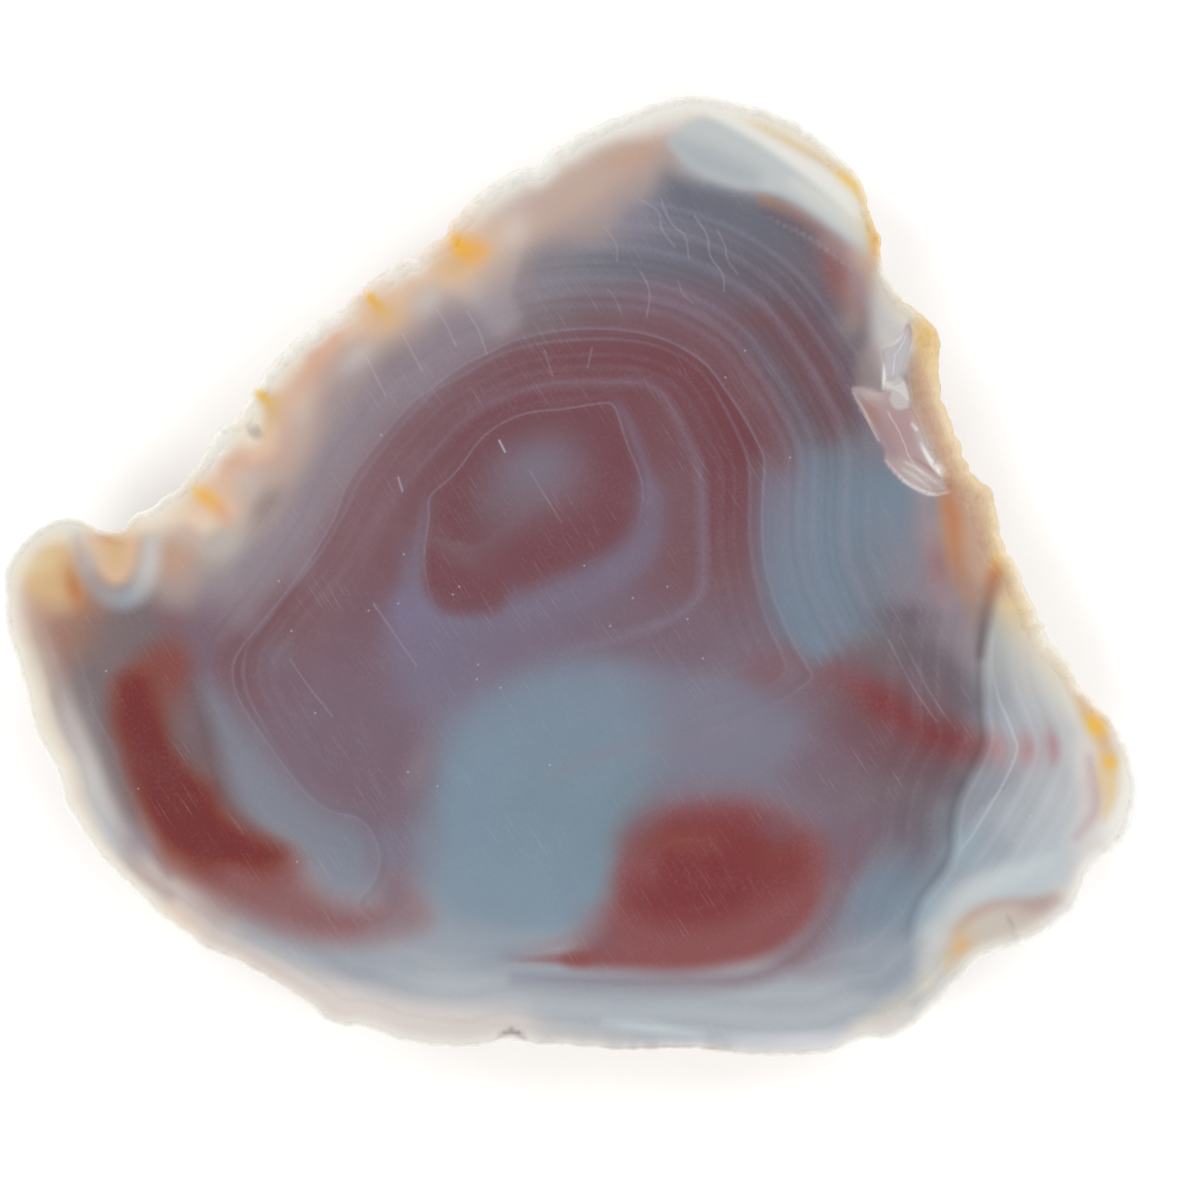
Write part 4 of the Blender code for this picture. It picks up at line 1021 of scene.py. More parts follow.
def chip(face):
    """The glassy floor of the flake broken from the right edge, with painted highlights on its ridges, and
    the stained stone beside it.
    """
    face.streak(0.85, 0.6, "fawn", (24.4, 15.4, 0.3), (24.6, 14, 0.5), (25, 12.4, 0.5), "tan",
                (25.5, 10.6, 0.5), (26.1, 8.8, 0.5), "fawn", (27, 6.6, 0.3), (27.6, 5, 0.2))
    face.patch("haze", 0.6, 0.8, (20.6, 16), (22, 16.2), (22.2, 14), (21.8, 12.6), (20.4, 13.4))
    face.patch("glass", 0.95, 0.1, *SCAR_EDGE)
    face.streak(0.6, 0.6, "mauve_grey", (20.6, 12.8, 0.3), "clay", (21.4, 11.6, 0.4), "mauve_grey",
                (22.3, 10, 0.4), (22.9, 8.8, 0.3))
    face.spot("pink", 0.4, 23.4, 10.4, 1.2, 1.8, -60)
    face.spot("mist", 0.6, 24.6, 7.0, 1.2, 0.6, -40)
    face.spot("mist", 0.5, 21.4, 12.9, 0.9, 0.4, -10)
    face.streak(0.7, 0.4, "rose_haze", (24.3, 11.4, 0.2), "mist", (25, 9.6, 0.3), (25.8, 7.8, 0.3),
                (26.4, 6.4, 0.1))
    # Painted highlights: glints of chalk white along the ridges of the scar's floor
    painted_glints = (
        (0.5, (23.8, 8.1, 0.08), (25, 7.4, 0.1), (26, 6.6, 0.08)),
        (0.5, (23.6, 7.6, 0.06), (24.6, 7, 0.08), (25.6, 6.2, 0.06)),
        (0.9, (24.9, 9.4, 0.06), (25.4, 8.5, 0.14), (26, 7.6, 0.16), (26.4, 7.1, 0.08)),
        (0.8, (24.3, 10.8, 0.08), (24.6, 10.4, 0.1)),
        (0.7, (20.1, 13, 0.05), (21, 11.4, 0.08), (21.9, 9.6, 0.06)),
        (0.7, (22.4, 8.2, 0.05), (23.8, 6.7, 0.1), (25.6, 5.8, 0.1), (26.8, 5.9, 0.05)))
    for strength, *points in painted_glints:
        face.streak(strength, 0.12, "chalk", *points)
    face.streak(0.6, 0.12, "clay", (24.4, 8.4, 0.06), (25.6, 7.6, 0.1), (26.2, 6.9, 0.06))
    face.patch("ice", 0.6, 0.4, (22.2, 16.1), (22.8, 16.4), (23.4, 16.9), (23.9, 17.6), (24.3, 16.4),
               (23.9, 15.2), (23.6, 14.3), (23, 14), (22.4, 13.9), (22.3, 15))
    face.patch("mist", 0.9, 0.15, (22.3, 13.2), (22.4, 13.8), (22.9, 13.9), (23.5, 14.2), (23.9, 13.4),
               (24.1, 12.4), (24.1, 12), (23.3, 11.8), (22.9, 12.1), (22.7, 12.5), (22.8, 13.1))
    # Painted highlights: bright chalk lines along the edges of the two facets
    face.streak(0.9, 0.1, "chalk", (22.3, 15.1, 0.05), (22.3, 14, 0.12), (22.2, 13.2, 0.06))
    face.streak(0.7, 0.15, "chalk", (22, 16.1, 0.03), (23.1, 16.6, 0.1), (23.6, 17.2, 0.08),
                (23.9, 18, 0.03))


def stains(face):
    """Small stains, cloudy places and faint lines all over the face."""
    for name, strength, *place in STAINS:
        face.spot(name, strength, *place)
    face.streak(0.4, 1.0, "mauve_grey", (-24.8, -4.4, 0.2), (-21.8, -1.2, 0.5), (-19.4, 2, 0.5),
                (-17.4, 5.6, 0.3))
    face.streak(0.3, 0.9, "mauve_grey", (-1.5, -14.2, 0.2), (2.1, -12.7, 0.4), (5, -12.1, 0.4),
                (8.9, -11.9, 0.4), (13.5, -10.4, 0.2))
    face.streak(0.35, 0.2, "lilac_grey", (-14.5, -19.8, 0.1), (-14, -22, 0.12), (-15, -23.3, 0.12),
                (-16.8, -24.2, 0.1))
    face.streak(0.3, 0.2, "lilac_grey", (-16, -24, 0.08), (-13.5, -25, 0.08))
    face.streak(0.35, 0.15, "veil", (14, 25.5, 0.05), (17, 24, 0.08), (20, 21.8, 0.05))
    face.streak(0.2, 0.25, "dusty_rose", (11.2, -21.3, 0.1), (10.4, -19.4, 0.1), (8.5, -18.8, 0.1),
                (6.6, -19.4, 0.1), (5.8, -21.3, 0.1), (6.6, -23.1, 0.1), (8.5, -23.8, 0.1),
                (10.4, -23.1, 0.1), (11.2, -21.3, 0.1))


def crown(face):
    """The pale lens at the top, with its yellow stain and the reds under it."""
    face.spot("tan", 0.7, 4.6, 29.9, 2.4, 0.9, 20)
    face.spot("rose_haze", 0.7, 0.4, 27.4, 3.0, 1.6, 25)
    face.spot("bone", 0.5, -4.2, 24.6, 1.4, 1.0, 45)
    face.spot("haze", 0.6, 7, 29.4, 1.2, 0.8)
    face.patch("wine", 0.8, 1.6, (10.6, 17.6), (13.4, 17.2), (15.2, 15), (17, 12), (18.4, 9.8),
               (19.8, 10.4), (19.8, 13.4), (18.4, 16.6), (16, 19), (13.6, 19.2))
    face.patch("slate", 0.9, 1.2, (6.6, 28.4), (8, 28.4), (9.6, 27.4), (12, 26.6), (14.4, 26),
               (16, 24.6), (15, 23, 2), (11, 24, 2), (7, 26, 2))
    # the lens, darker at its left end
    face.patch("lens_grey", 0.95, 0.45, (6.9, 30.9), (7.6, 31.7), (9.2, 32.6), (11.6, 32.4), (14, 31.4),
               (17, 29.8), (19.8, 27.9), (21.2, 25.6), (21.8, 23.2), (21.2, 22.8), (20.2, 23.4),
               (18.8, 24.8), (17.2, 26.1), (15.6, 27), (13.6, 27.5), (11.6, 27.7), (10, 28.3),
               (8.6, 29.2), (7.6, 29.9))
    face.patch("fog", 0.5, 1.0, (7.2, 31), (9, 30.8), (11.4, 29.8), (13.4, 28.6), (12.6, 27.8),
               (10, 28.4), (8.2, 29.4))
    face.patch("buff", 0.7, 1.0, (15.8, 28), (17.8, 27.2), (20, 25.6), (21.4, 24.4), (21.4, 23.6),
               (20, 24.4), (18.4, 25.8), (17, 26.9))
    face.patch("crust", 0.85, 0.4, (9.8, 32.9), (11.4, 31.9), (13.6, 30.6), (16, 28.9), (18.4, 27),
               (20.6, 25), (21.4, 25.6, 1), (20.4, 27.6), (18, 29.6), (15, 31.5), (12, 32.8))
    face.streak(0.8, 0.5, "cream", (11.4, 32.9, 0.1), "straw", (13.6, 31.9, 0.2), (16, 30.6, 0.25),
                "ochre", (18.2, 29.3, 0.2), "gold", (19.6, 28.2, 0.25), (20.4, 27.3, 0.25), "straw",
                (21.2, 25.8, 0.1))
    face.streak(0.9, 0.5, "straw", (21.2, 25.4, 0.3), "amber", (21.7, 24, 0.5), (21.8, 22.8, 0.3))
    # reds under the lens
    face.streak(0.8, 0.7, "rust", (13.6, 26.8, 0.1), "clay", (15.2, 26.1, 0.3), (17, 25.0, 0.4),
                "dusty_rose", (18.6, 23.8, 0.4), "tan", (20.2, 22.6, 0.5), (21.3, 21.9, 0.3))
    face.streak(0.7, 0.7, "dusk", (14, 25.7, 0.1), (16, 24.7, 0.5), (17.6, 23.6, 0.5),
                (18.2, 22.4, 0.1))
    face.streak(0.8, 1.3, "dusty_rose", (18.2, 23, 0.3), (18.9, 21.6, 0.7), (19.6, 20.2, 0.6), "clay",
                (20.4, 18.4, 0.1))
    face.spot("pink", 0.6, 20.2, 20.8, 0.8, 1.6, 15)
    face.spot("rose", 0.4, 18.8, 21.6, 0.7, 1.4, 15)
    # the pale wedge between the reds and the skin, down to the scar
    face.patch("mist", 0.85, 1.0, (21.8, 21.8), (22.6, 21.2), (24, 19.2), (24.8, 18), (24, 15.6),
               (22.4, 13.8), (21.9, 15), (21.6, 17.4), (21.7, 19.8))
    face.spot("tan", 0.5, 21.5, 21.6, 0.8, 1.2)
    face.patch("buff", 0.8, 0.8, (22.2, 21.4), (23.4, 20), (24.8, 18.4), (24.6, 17.4), (23.4, 18),
               (22.4, 19.6))
    face.patch("sand", 0.95, 0.6, (24.6, 16), (26.3, 15.6), (26.9, 12), (28.2, 9.6), (28.6, 7),
               (26.8, 7.4), (25.2, 9.6), (24.2, 12))
    face.patch("straw", 0.95, 0.4, (24.4, 18.1), (25.2, 18.3), (26.3, 17.4), (26.7, 16.2), (26.4, 14.6),
               (25.4, 14.4), (24.6, 15.6), (24.2, 16.8))
    face.spot("ochre", 0.6, 25.5, 16.4, 0.8, 1.2)
    face.spot("gold", 0.2, 25.4, 17.2, 0.7, 0.7)
    face.streak(0.8, 0.5, "cream", (26.2, 13.4, 0.3), (27, 10.8, 0.3), (28.2, 8.6, 0.3))


def rim(face):
    """The pale skin all round: cream stone under a white crust, paler towards the rim partly as a painted
    glow of light through the thin edge.
    """
    face.rim(0.85, 0.8, "cream", (-40.2, -1, 0.9), (-38.4, 2.8, 0.9), "buff", (-35.4, 3.7, 0.9),
             "peach", (-33, 3.1, 0.3), "cream", (-31, 4.3, 0.9), (-28.5, 6.1, 1.3), (-25.6, 10.2, 1.7),
             (-22, 14.2, 1.8), (-17.8, 18.2, 1.9), (-13.4, 21.6, 1.9), (-9, 24.7, 1.7), "buff",
             (-5, 28.2, 1.5), (0, 31.2, 1.5), (5, 33.2, 1.9), (9, 34.2, 1.4), "buff", (14, 33.1, 1.0),
             "cream", (19, 29.8, 0.5), "straw", (21.6, 25.2, 0.4), "buff", (22.4, 21.6, 0.8), "straw",
             (25.8, 17.8, 0.9), "sand", (27, 11.6, 1.0), (29.2, 7, 1.0), "straw", (31, 2.2, 0.9),
             "cream", (34.4, -4.7, 0.8), "peach", (38, -10, 0.7), "buff", (40.4, -15, 1.0),
             (38.4, -20, 0.9), "bone", (34, -25.4, 0.8), "buff", (27, -29.6, 0.8), "bone",
             (19, -33.6, 0.6), (8, -33.7, 0.3), (-4, -32.9, 0.5), "bone", (-14, -32.3, 0.7),
             "rose_haze", (-22, -28.6, 0.7), "cream", (-30, -23.6, 0.8), (-34.4, -19, 0.9),
             (-37, -13.6, 1.3), (-38.8, -9, 1.3), (-40, -4.6, 1.1))


def crust(face):
    """The white crust at the very edge."""
    face.rim(0.9, 0.6, "crust", (-40.2, -1, 0.6), (-36, 3.8, 0.7), "buff", (-33, 3.1, 0.2), "crust",
             (-31, 4.3, 0.5), (-28.5, 6.1, 0.9), (-25.6, 10.2, 1.3), (-22, 14.2, 1.1),
             (-17.8, 18.2, 1.2), (-13.4, 21.6, 1.3), (-9, 24.7, 1.2), (-5, 28.2, 1.1), (0, 31.2, 1.1),
             (5, 33.2, 1.2), (9, 34.2, 1.2), (14, 33.1, 0.7), "crust", (19, 29.8, 0.4), "straw",
             (21.6, 25.2, 0.2), (22, 23.4, 0.2), "crust", (22.4, 21.6, 0.4), "straw", (25.8, 17.8, 0.3),
             "straw", (27, 11.6, 0.3), (29.2, 7, 0.2), "cream", (31, 2.2, 0.2), "buff",
             (34.4, -4.7, 0.5), "chalk", (38, -10, 0.4), (40.4, -15, 0.8), (38.4, -20, 0.7), "chalk",
             (34, -25.4, 0.6), "crust", (27, -29.6, 0.6), (19, -33.6, 0.5), (8, -33.7, 0.3),
             (-4, -32.9, 0.4), "crust", (-14, -32.3, 0.6), "chalk", (-22, -28.6, 0.5),
             (-30, -23.6, 0.5), (-34.4, -19, 0.6), (-37, -13.6, 0.6), (-38.8, -9, 0.5),
             (-40, -4.6, 0.6))


def face_colours(x, y, depth):
    """The colour of the polished face at each place."""
    face = Face(x, y, depth)
    for region in (basin, left_lobe, crescent, pool, eye, right_side, foot, rim, slope, crown, stains,
                   crust, tube_ends, chip):
        region(face)
    return face.colour


class Stone:
    """The stone's outline, how its skin lies along it, and the edges of the polished face."""

    def __init__(self):
        smooth_rim = rim_from_frame()
        self.outward = outward_normals(smooth_rim)
        self.widths = widths_round(smooth_rim)
        self.crust = np.clip(self.widths / CRUST_WIDTH, CRUST_LEAST, 1.0)
        grain = self.crust * [crust_noise(Vector((*point, THICKNESS))) for point in smooth_rim]
        grain -= CRUST_CUT * np.maximum(grain, 0.0)
        self.rim = smooth_rim + self.outward * grain[:, None]
        self.edge = ring_closed(np.column_stack([self.rim, self.widths]))
        self.face_edge = ring_closed(self.roll_ring(0.0))
        self.scar_edge = ring_closed(scar_edge())

    def skin(self, x, y):
        """Depth in from the rim, how far round the roll of the skin from 0 to 1, and its width."""
        depth, found = nearest(x, y, self.edge)
        width = found[:, 0]
        return depth, np.clip(1.0 - depth / width, 0.0, 1.0), width

    def roll_ring(self, angle):
        """The ring where the skin has rolled over by an angle."""
        inset = self.widths * (1.0 - math.sin(math.radians(angle)))
        return self.rim - self.outward * inset[:, None]


def scar_floor(scar, x, y):
    """Height of the floor of a scar at each place, infinite outside it."""
    (cx, cy, rise), half_sizes, turn, tilt = scar
    turned = Matrix.Rotation(math.radians(turn), 3, "Z") @ Matrix.Rotation(math.radians(tilt), 3, "X")
    to_unit = np.diag(1.0 / np.array(half_sizes)) @ np.array(turned.transposed())
    start = to_unit @ np.stack([x - cx, y - cy, np.full(x.shape, -(THICKNESS + rise))])
    rate = to_unit[:, 2]
    b = rate @ start
    c = np.sum(start ** 2, axis=0) - 1.0
    inner = b * b - (rate @ rate) * c
    floor = (-b - np.sqrt(np.maximum(inner, 0.0))) / (rate @ rate)
    return np.where(inner > 0.0, floor, np.inf)


def scar_edge():
    """The line where the scars break the face, as evenly spaced points."""
    loop = ring_closed(np.array(SCAR_EDGE))
    return even_loop(loop, round(np.hypot(*np.diff(loop, axis=0).T).sum() / SCAR_EDGE_STEP))


def facet_relief(x, y):
    """How far the flat facets of a scar's floor stand out at each place."""
    facets = [lift + across * (x - cx) + along * (y - cy) - FACET_FADE * np.hypot(x - cx, y - cy)
              for cx, cy, lift, across, along in FACETS]
    return np.max(facets, axis=0)


def staggered_grid(low, high, spacing):
    """Points of even triangles over a box."""
    rows = []
    for number, y in enumerate(np.arange(low[1], high[1], spacing * math.sqrt(3.0) / 2.0)):
        x = np.arange(low[0], high[0], spacing) + spacing / 2 * (number % 2)
        rows.append(np.stack([x, np.full(x.shape, y)], axis=1))
    return np.vstack(rows)


def scratch_points():
    """Points at the specks and along the scratches, which the face's division follows."""
    return np.vstack([SPECKS, *(smooth_path(points, step=SCRATCH_STEP) for _, *points in SCRATCHES)])


def upper_places(stone):
    """Points of the upper side in plan, and its triangles. The rings' points come first."""
    rings = [stone.rim] + [stone.roll_ring(angle) for angle in reversed(ROLL_ANGLES)]
    rings.append(stone.scar_edge[:-1])
    lines = []
    count = 0
    for ring in rings:
        lines += [(count + k, count + (k + 1) % len(ring)) for k in range(len(ring))]
        count += len(ring)
    coarse = staggered_grid(stone.rim.min(axis=0), stone.rim.max(axis=0), FACE_SPACING)
    low, high = np.array(CHIP_BOX)
    coarse = coarse[~np.all((coarse > low) & (coarse < high), axis=1)]
    grid = np.vstack([coarse, staggered_grid(low, high, CHIP_SPACING)])
    clear = inside(*grid.T, stone.face_edge)
    marks = scratch_points()
    for mark in marks:
        clear &= np.hypot(*(grid - mark).T) > SCRATCH_CLEARANCE
    clear[clear] = nearest(*grid[clear].T, stone.face_edge)[0] > RING_CLEARANCE
    clear[clear] = nearest(*grid[clear].T, stone.scar_edge)[0] > SCAR_EDGE_STEP / 2.0
    places = np.vstack([*rings, marks, grid[clear]])
    found = delaunay_2d_cdt([Vector(place) for place in places], lines, [], 1, SAME_PLACE, False)
    return np.array([tuple(place) for place in found[0]]), found[2]


def upper_heights(stone, x, y):
    """Height of the upper side: flat inside, rolling down at the rim, and cut by the scars."""
    _, roll, width = stone.skin(x, y)
    height = THICKNESS - ROLL_RATIO * width * (1.0 - np.sqrt(1.0 - roll ** 2))
    height[:ROUND_COUNT] = THICKNESS - ROLL_RATIO * stone.widths
    floor = np.min([scar_floor(scar, x, y) for scar in SCARS.values()], axis=0)
    relief = facet_relief(x, y) * smoothstep(0.0, FACET_REACH, height - floor)
    distance, _ = signed_distance(x, y, stone.scar_edge)
    deepest = SCAR_EDGE_SLOPE * np.maximum(-distance, 0.0)
    return height - np.clip(height - floor - relief, 0.0, deepest)


def on_ellipse(centre, half_widths, angle):
    """The point of an ellipse at an angle."""
    return Vector((centre[0] + half_widths[0] * math.cos(angle),
                   centre[1] + half_widths[1] * math.sin(angle)))


def wall_rings(stone):
    """Upright sections from the skin down to the rim's depth, pitted by the crust's grain."""
    tops = THICKNESS - ROLL_RATIO * stone.widths
    rings = []
    for number in range(1, WALL_RINGS + 1):
        heights = tops + (RIM_HEIGHT - tops) * number / WALL_RINGS
        ring = []
        for point, out, crust, height in zip(stone.rim, stone.outward, stone.crust, heights):
            pit = crust * abs(crust_noise(Vector((*point, height)))) + DRAW_IN * number
            ring.append(Vector((*(point - out * pit), height)))
        rings.append(ring)
    return rings


def dome_place(outer, turn, spread, height):
    """A point of the lumpy dome, on the way out from the flat spot to a point of the outline."""
    centre = Vector((*FLAT_CENTRE, RIM_HEIGHT))
    away = math.atan2((outer.y - centre.y) / SOFT_HALF[1], (outer.x - centre.x) / SOFT_HALF[0])
    outer = outer.lerp(on_ellipse(SOFT_CENTRE, SOFT_HALF, away), SOFT_SHARE * (1.0 - turn))
    place = on_ellipse(FLAT_CENTRE, FLAT_SPOT, away).lerp(outer, spread).to_3d()
    place.z = height
    if turn > 0.0:
        swell = math.sin(math.pi * turn) ** SWELL_POWER
        place += (place - centre).normalized() * (back_relief(place) + crust_noise(place)) * swell
        place.z = max(place.z, height * LOWEST_SHARE)
    return place


def draw_in(place, point, out, section):
    """Move a point of the dome in from the outline's point above it, and into the pits of the back."""
    beyond = (place.x - point[0]) * out[0] + (place.y - point[1]) * out[1] + DRAW_IN * section
    below = RIM_HEIGHT - place.z
    soft = DRAW_SOFT * min(1.0, below / DRAW_SOFT_BY)
    pit = sum(depth * abs(noise.noise(place / size)) for depth, size in WALL_PITS)
    pit *= min(1.0, below / PITS_FULL_BY) * min(1.0, place.z / PITS_FULL_BY)
    place.xy -= out * (0.5 * (beyond + math.hypot(beyond, soft)) + pit)


def dome_rings(stone):
    """Sections of the rough back, from just below the rim down to the flat spot."""
    reach = round(SMOOTH_REACH * ROUND_COUNT / np.hypot(*np.diff(stone.edge[:, :2], axis=0).T).sum())
    smooth_rim = ring_average(stone.rim, reach)
    smooth_outward = ring_average(stone.outward, reach)
    rings = []
    for number in range(1, DOME_RINGS + 1):
        turn = 1.0 - number / DOME_RINGS
        angle = DOME_START + (math.pi / 2.0 - DOME_START) * turn
        spread = (math.sin(angle) - math.sin(DOME_START)) / (1.0 - math.sin(DOME_START))
        height = RIM_HEIGHT * (1.0 - math.cos(angle) / math.cos(DOME_START))
        smoothed = min(1.0, (1.0 - turn) / SMOOTH_BY)
        ring = []
        for point, smooth_point, out, smooth_out in zip(stone.rim, smooth_rim, stone.outward,
                                                        smooth_outward):
            outer = Vector(point).lerp(Vector(smooth_point), smoothed)
            place = dome_place(outer, turn, spread ** DOME_FULLNESS, height)
            out = Vector(out).lerp(Vector(smooth_out), smoothed).normalized()
            draw_in(place, point, out, WALL_RINGS + number)
            ring.append(place)
        rings.append(ring)
    return rings


def stone_mesh(stone):
    """The closed mesh of the stone, and the plan of its upper side, whose corners come first."""
    places, faces = upper_places(stone)
    x, y = places.T
    corners = [Vector(corner) for corner in zip(x, y, upper_heights(stone, x, y))]
    for number, corner in enumerate(corners[:FACE_EDGE]):
        grain = stone.crust[number % ROUND_COUNT] * min(0.0, crust_noise(corner * CRUST_FINER))
        corner.z += grain * CRUST_SHARES[number // ROUND_COUNT]
    middles = places[np.array(faces)].mean(axis=1)
    kept = inside(*middles.T, stone.edge[:, :2])
    polygons = [tuple(face) for face, keep in zip(faces, kept) if keep]
    above = 0
    for ring in wall_rings(stone) + dome_rings(stone):
        below = len(corners)
        corners += ring
        for k in range(ROUND_COUNT):
            after = (k + 1) % ROUND_COUNT
            polygons.append((above + k, above + after, below + after, below + k))
        above = below
    middle = len(corners)
    corners.append(Vector((*FLAT_CENTRE, 0.0)))
    polygons += [(above + k, above + (k + 1) % ROUND_COUNT, middle) for k in range(ROUND_COUNT)]
    mesh = bpy.data.meshes.new("agate_stone")
    mesh.from_pydata([corner * MM for corner in corners], [], polygons)
    mesh.shade_smooth()
    mark_sharp(mesh, SCAR_START + len(stone.scar_edge) - 1)
    return mesh, x, y


def mark_sharp(mesh, scar_end):
    """Keep the edge of the polished face crisp, where it meets the skin and the scars."""
    for edge in mesh.edges:
        low, high = sorted(edge.vertices)
        if (FACE_EDGE <= low and high < SCAR_START) or (SCAR_START <= low and high < scar_end):
            edge.use_edge_sharp = True


def to_albedo(colours):
    """The colour that a surface needs so that it looks the wanted colour in this light."""
    light = np.where(colours <= 0.04045, colours / 12.92, ((colours + 0.055) / 1.055) ** 2.4)
    return np.clip((light - SHEEN) / LIGHT_GAIN, DARKEST, 1.0)


def painted_light_share(mesh, scar_end):
    """The share of a level surface's light that each corner gets, by which the skin's colour is painted
    paler as painted light. Grains of the skin don't count.
    """
    normals = np.zeros(3 * len(mesh.vertices))
    mesh.vertices.foreach_get("normal", normals)
    level = np.maximum(normals[2::3], 0.0)
    for start in range(0, FACE_EDGE, ROUND_COUNT):
        level[start:start + ROUND_COUNT] = ring_average(level[start:start + ROUND_COUNT], GRAIN_REACH)
    level[FACE_EDGE:scar_end] = 1.0
    return UPRIGHT_LIGHT + (1.0 - UPRIGHT_LIGHT) * np.maximum(level, LEAST_LEVEL)


def patches(place, strength, size, shift=(0.0, 0.0, 0.0)):
    """Smooth noise about 0.5 at a place on the back."""
    return 0.5 + strength * noise.noise(place / size + Vector(shift))


def back_colour(place):
    """The colour of the rough back at a place, with painted shade in its dimples and pits, under the white
    crust that comes down from the rim.
    """
    flecks, fleck_size = OCHRE_FLECKS
    ochre = patches(place, *OCHRE_PATCHES) + flecks * noise.noise(place / fleck_size)
    rust = (patches(place, *RUST_PATCHES) - RUST_LEVEL) * RUST_RISE
    pits = sum(abs(noise.noise(place / size)) for _, size in WALL_PITS[:2])
    foot = sum((height * noise.noise(place / length) for height, length in CRUST_WAVES), CRUST_FOOT)
    crusted = max(0.0, (place.z - foot) / (RIM_HEIGHT - CRUST_FOOT)) ** CRUST_GROWTH
    # The umber of the dimples and the fawn of the pits are painted shade in the back's hollows
    shade = tone("dun")
    for name, strength, share in (
            ("ochre", 1.0, ochre), ("clay", RUST_STRENGTH, rust),
            ("buff", PALE_STRENGTH, patches(place, *PALE_PATCHES)),
            ("umber", DIMPLE_SHADE, dimple_share(place)), ("fawn", PIT_SHADE, pits),
            ("crust", CRUST_STRENGTH, crusted)):
        shade += (tone(name) - shade) * strength * min(1.0, max(0.0, share))
    return shade


def set_vector(mesh, name, *columns, rest=(0.0, 0.0, 0.0)):
    """Give the upper side's corners up to three numbers each, and the other corners the rest."""
    layer = mesh.attributes.new(name, "FLOAT_VECTOR", "POINT")
    rows = np.tile(np.array(rest, np.float32), (len(mesh.vertices), 1))
    for number, column in enumerate(columns):
        rows[:len(column), number] = column
    layer.data.foreach_set("vector", rows.ravel())


def set_colour(mesh, name, colours):
    """Give every corner of the mesh a colour."""
    layer = mesh.color_attributes.new(name, "FLOAT_COLOR", "POINT")
    rows = np.ones((len(mesh.vertices), 4), np.float32)
    rows[:, :3] = colours
    layer.data.foreach_set("color", rows.ravel())


def scratch_distance(x, y):
    """Distance to the nearest scratch or speck, and that mark's strength."""
    best = np.full(x.shape, BAND_REACH)
    strength = np.zeros(x.shape)
    marks = [(amount, nearest(x, y, smooth_path(points, step=SCRATCH_STEP))[0])
             for amount, *points in SCRATCHES]
    marks += [(SPECK_STRENGTH, np.hypot(x - px, y - py)) for px, py in SPECKS]
    for amount, far in marks:
        closer = far < best
        best[closer], strength[closer] = far[closer], amount
    return best, strength


def paint_stone(mesh, stone, x, y):
    """Give the mesh its colours, and the numbers that its material reads."""
    depth, _, _ = stone.skin(x, y)
    # Painted light: the upper side's colours are divided by the light share, so the skin's steep parts are
    # painted paler, as if fully lit and glowing through the thin edge
    light = painted_light_share(mesh, SCAR_START + len(stone.scar_edge) - 1)[:len(x), None]
    upper = to_albedo(face_colours(x, y, depth)) / light
    back = to_albedo(np.array([back_colour(corner.co / MM) for corner in mesh.vertices[len(x):]]))
    set_colour(mesh, "stone_colour", np.minimum(np.vstack([upper, back * BACK_LIFT]), PALEST))
    skin, _ = signed_distance(x, y, stone.face_edge)
    scar, _ = signed_distance(x, y, stone.scar_edge)
    set_vector(mesh, "surface", skin, -scar, depth, rest=(1.0, -1.0, 0.0))
    for name, points in LOOPS.items():
        distance, found = signed_distance(x, y, smooth_path(carried(points), closed=True))
        set_vector(mesh, name, distance, found[:, 0], area_share(x, y, BAND_AREAS[name]))
    set_vector(mesh, "skin_bands", area_share(x, y, SKIN_BAND_AREA))
    set_vector(mesh, "scratch", *scratch_distance(x, y))


def bake_layout(mesh, x, y):
    """Lay the surface out flat, with the face as seen from above and the back in the strip below."""
    layer = mesh.uv_layers.new(name="OFBake")
    centre = np.array([0.5, (1.0 + STRIP + GAP) / 2.0])
    middle = np.array([x.min() + x.max(), y.min() + y.max()]) / 2.0
    upper = (centre + (np.column_stack([x, y]) - middle) / FACE_SPAN).tolist()
    spot = Vector(centre + (np.array(SPOT_PLACE) - middle) / FACE_SPAN)
    spot_scale = SPOT_RADIUS / FLAT_SPOT[0] / FACE_SPAN
    last = len(mesh.vertices) - 1
    for polygon in mesh.polygons:
        corners = list(polygon.vertices)
        if max(corners) < len(x):
            for loop, corner in zip(polygon.loop_indices, corners):
                layer.data[loop].uv = upper[corner]
        elif last in corners:
            for loop, corner in zip(polygon.loop_indices, corners):
                offset = mesh.vertices[corner].co.xy / MM - Vector(FLAT_CENTRE)
                layer.data[loop].uv = spot + offset * spot_scale
        else:
            rings = [0 if corner < len(x) else 1 + (corner - len(x)) // ROUND_COUNT for corner in corners]
            turns = [(corner if corner < len(x) else corner - len(x)) % ROUND_COUNT for corner in corners]
            for loop, ring, turn in zip(polygon.loop_indices, rings, turns):
                if turn == 0 and max(turns) > ROUND_COUNT / 2:
                    turn = ROUND_COUNT
                down = 1.0 - ring / (WALL_RINGS + DOME_RINGS)
                layer.data[loop].uv = (GAP + (1.0 - 2.0 * GAP) * turn / ROUND_COUNT, STRIP * down)


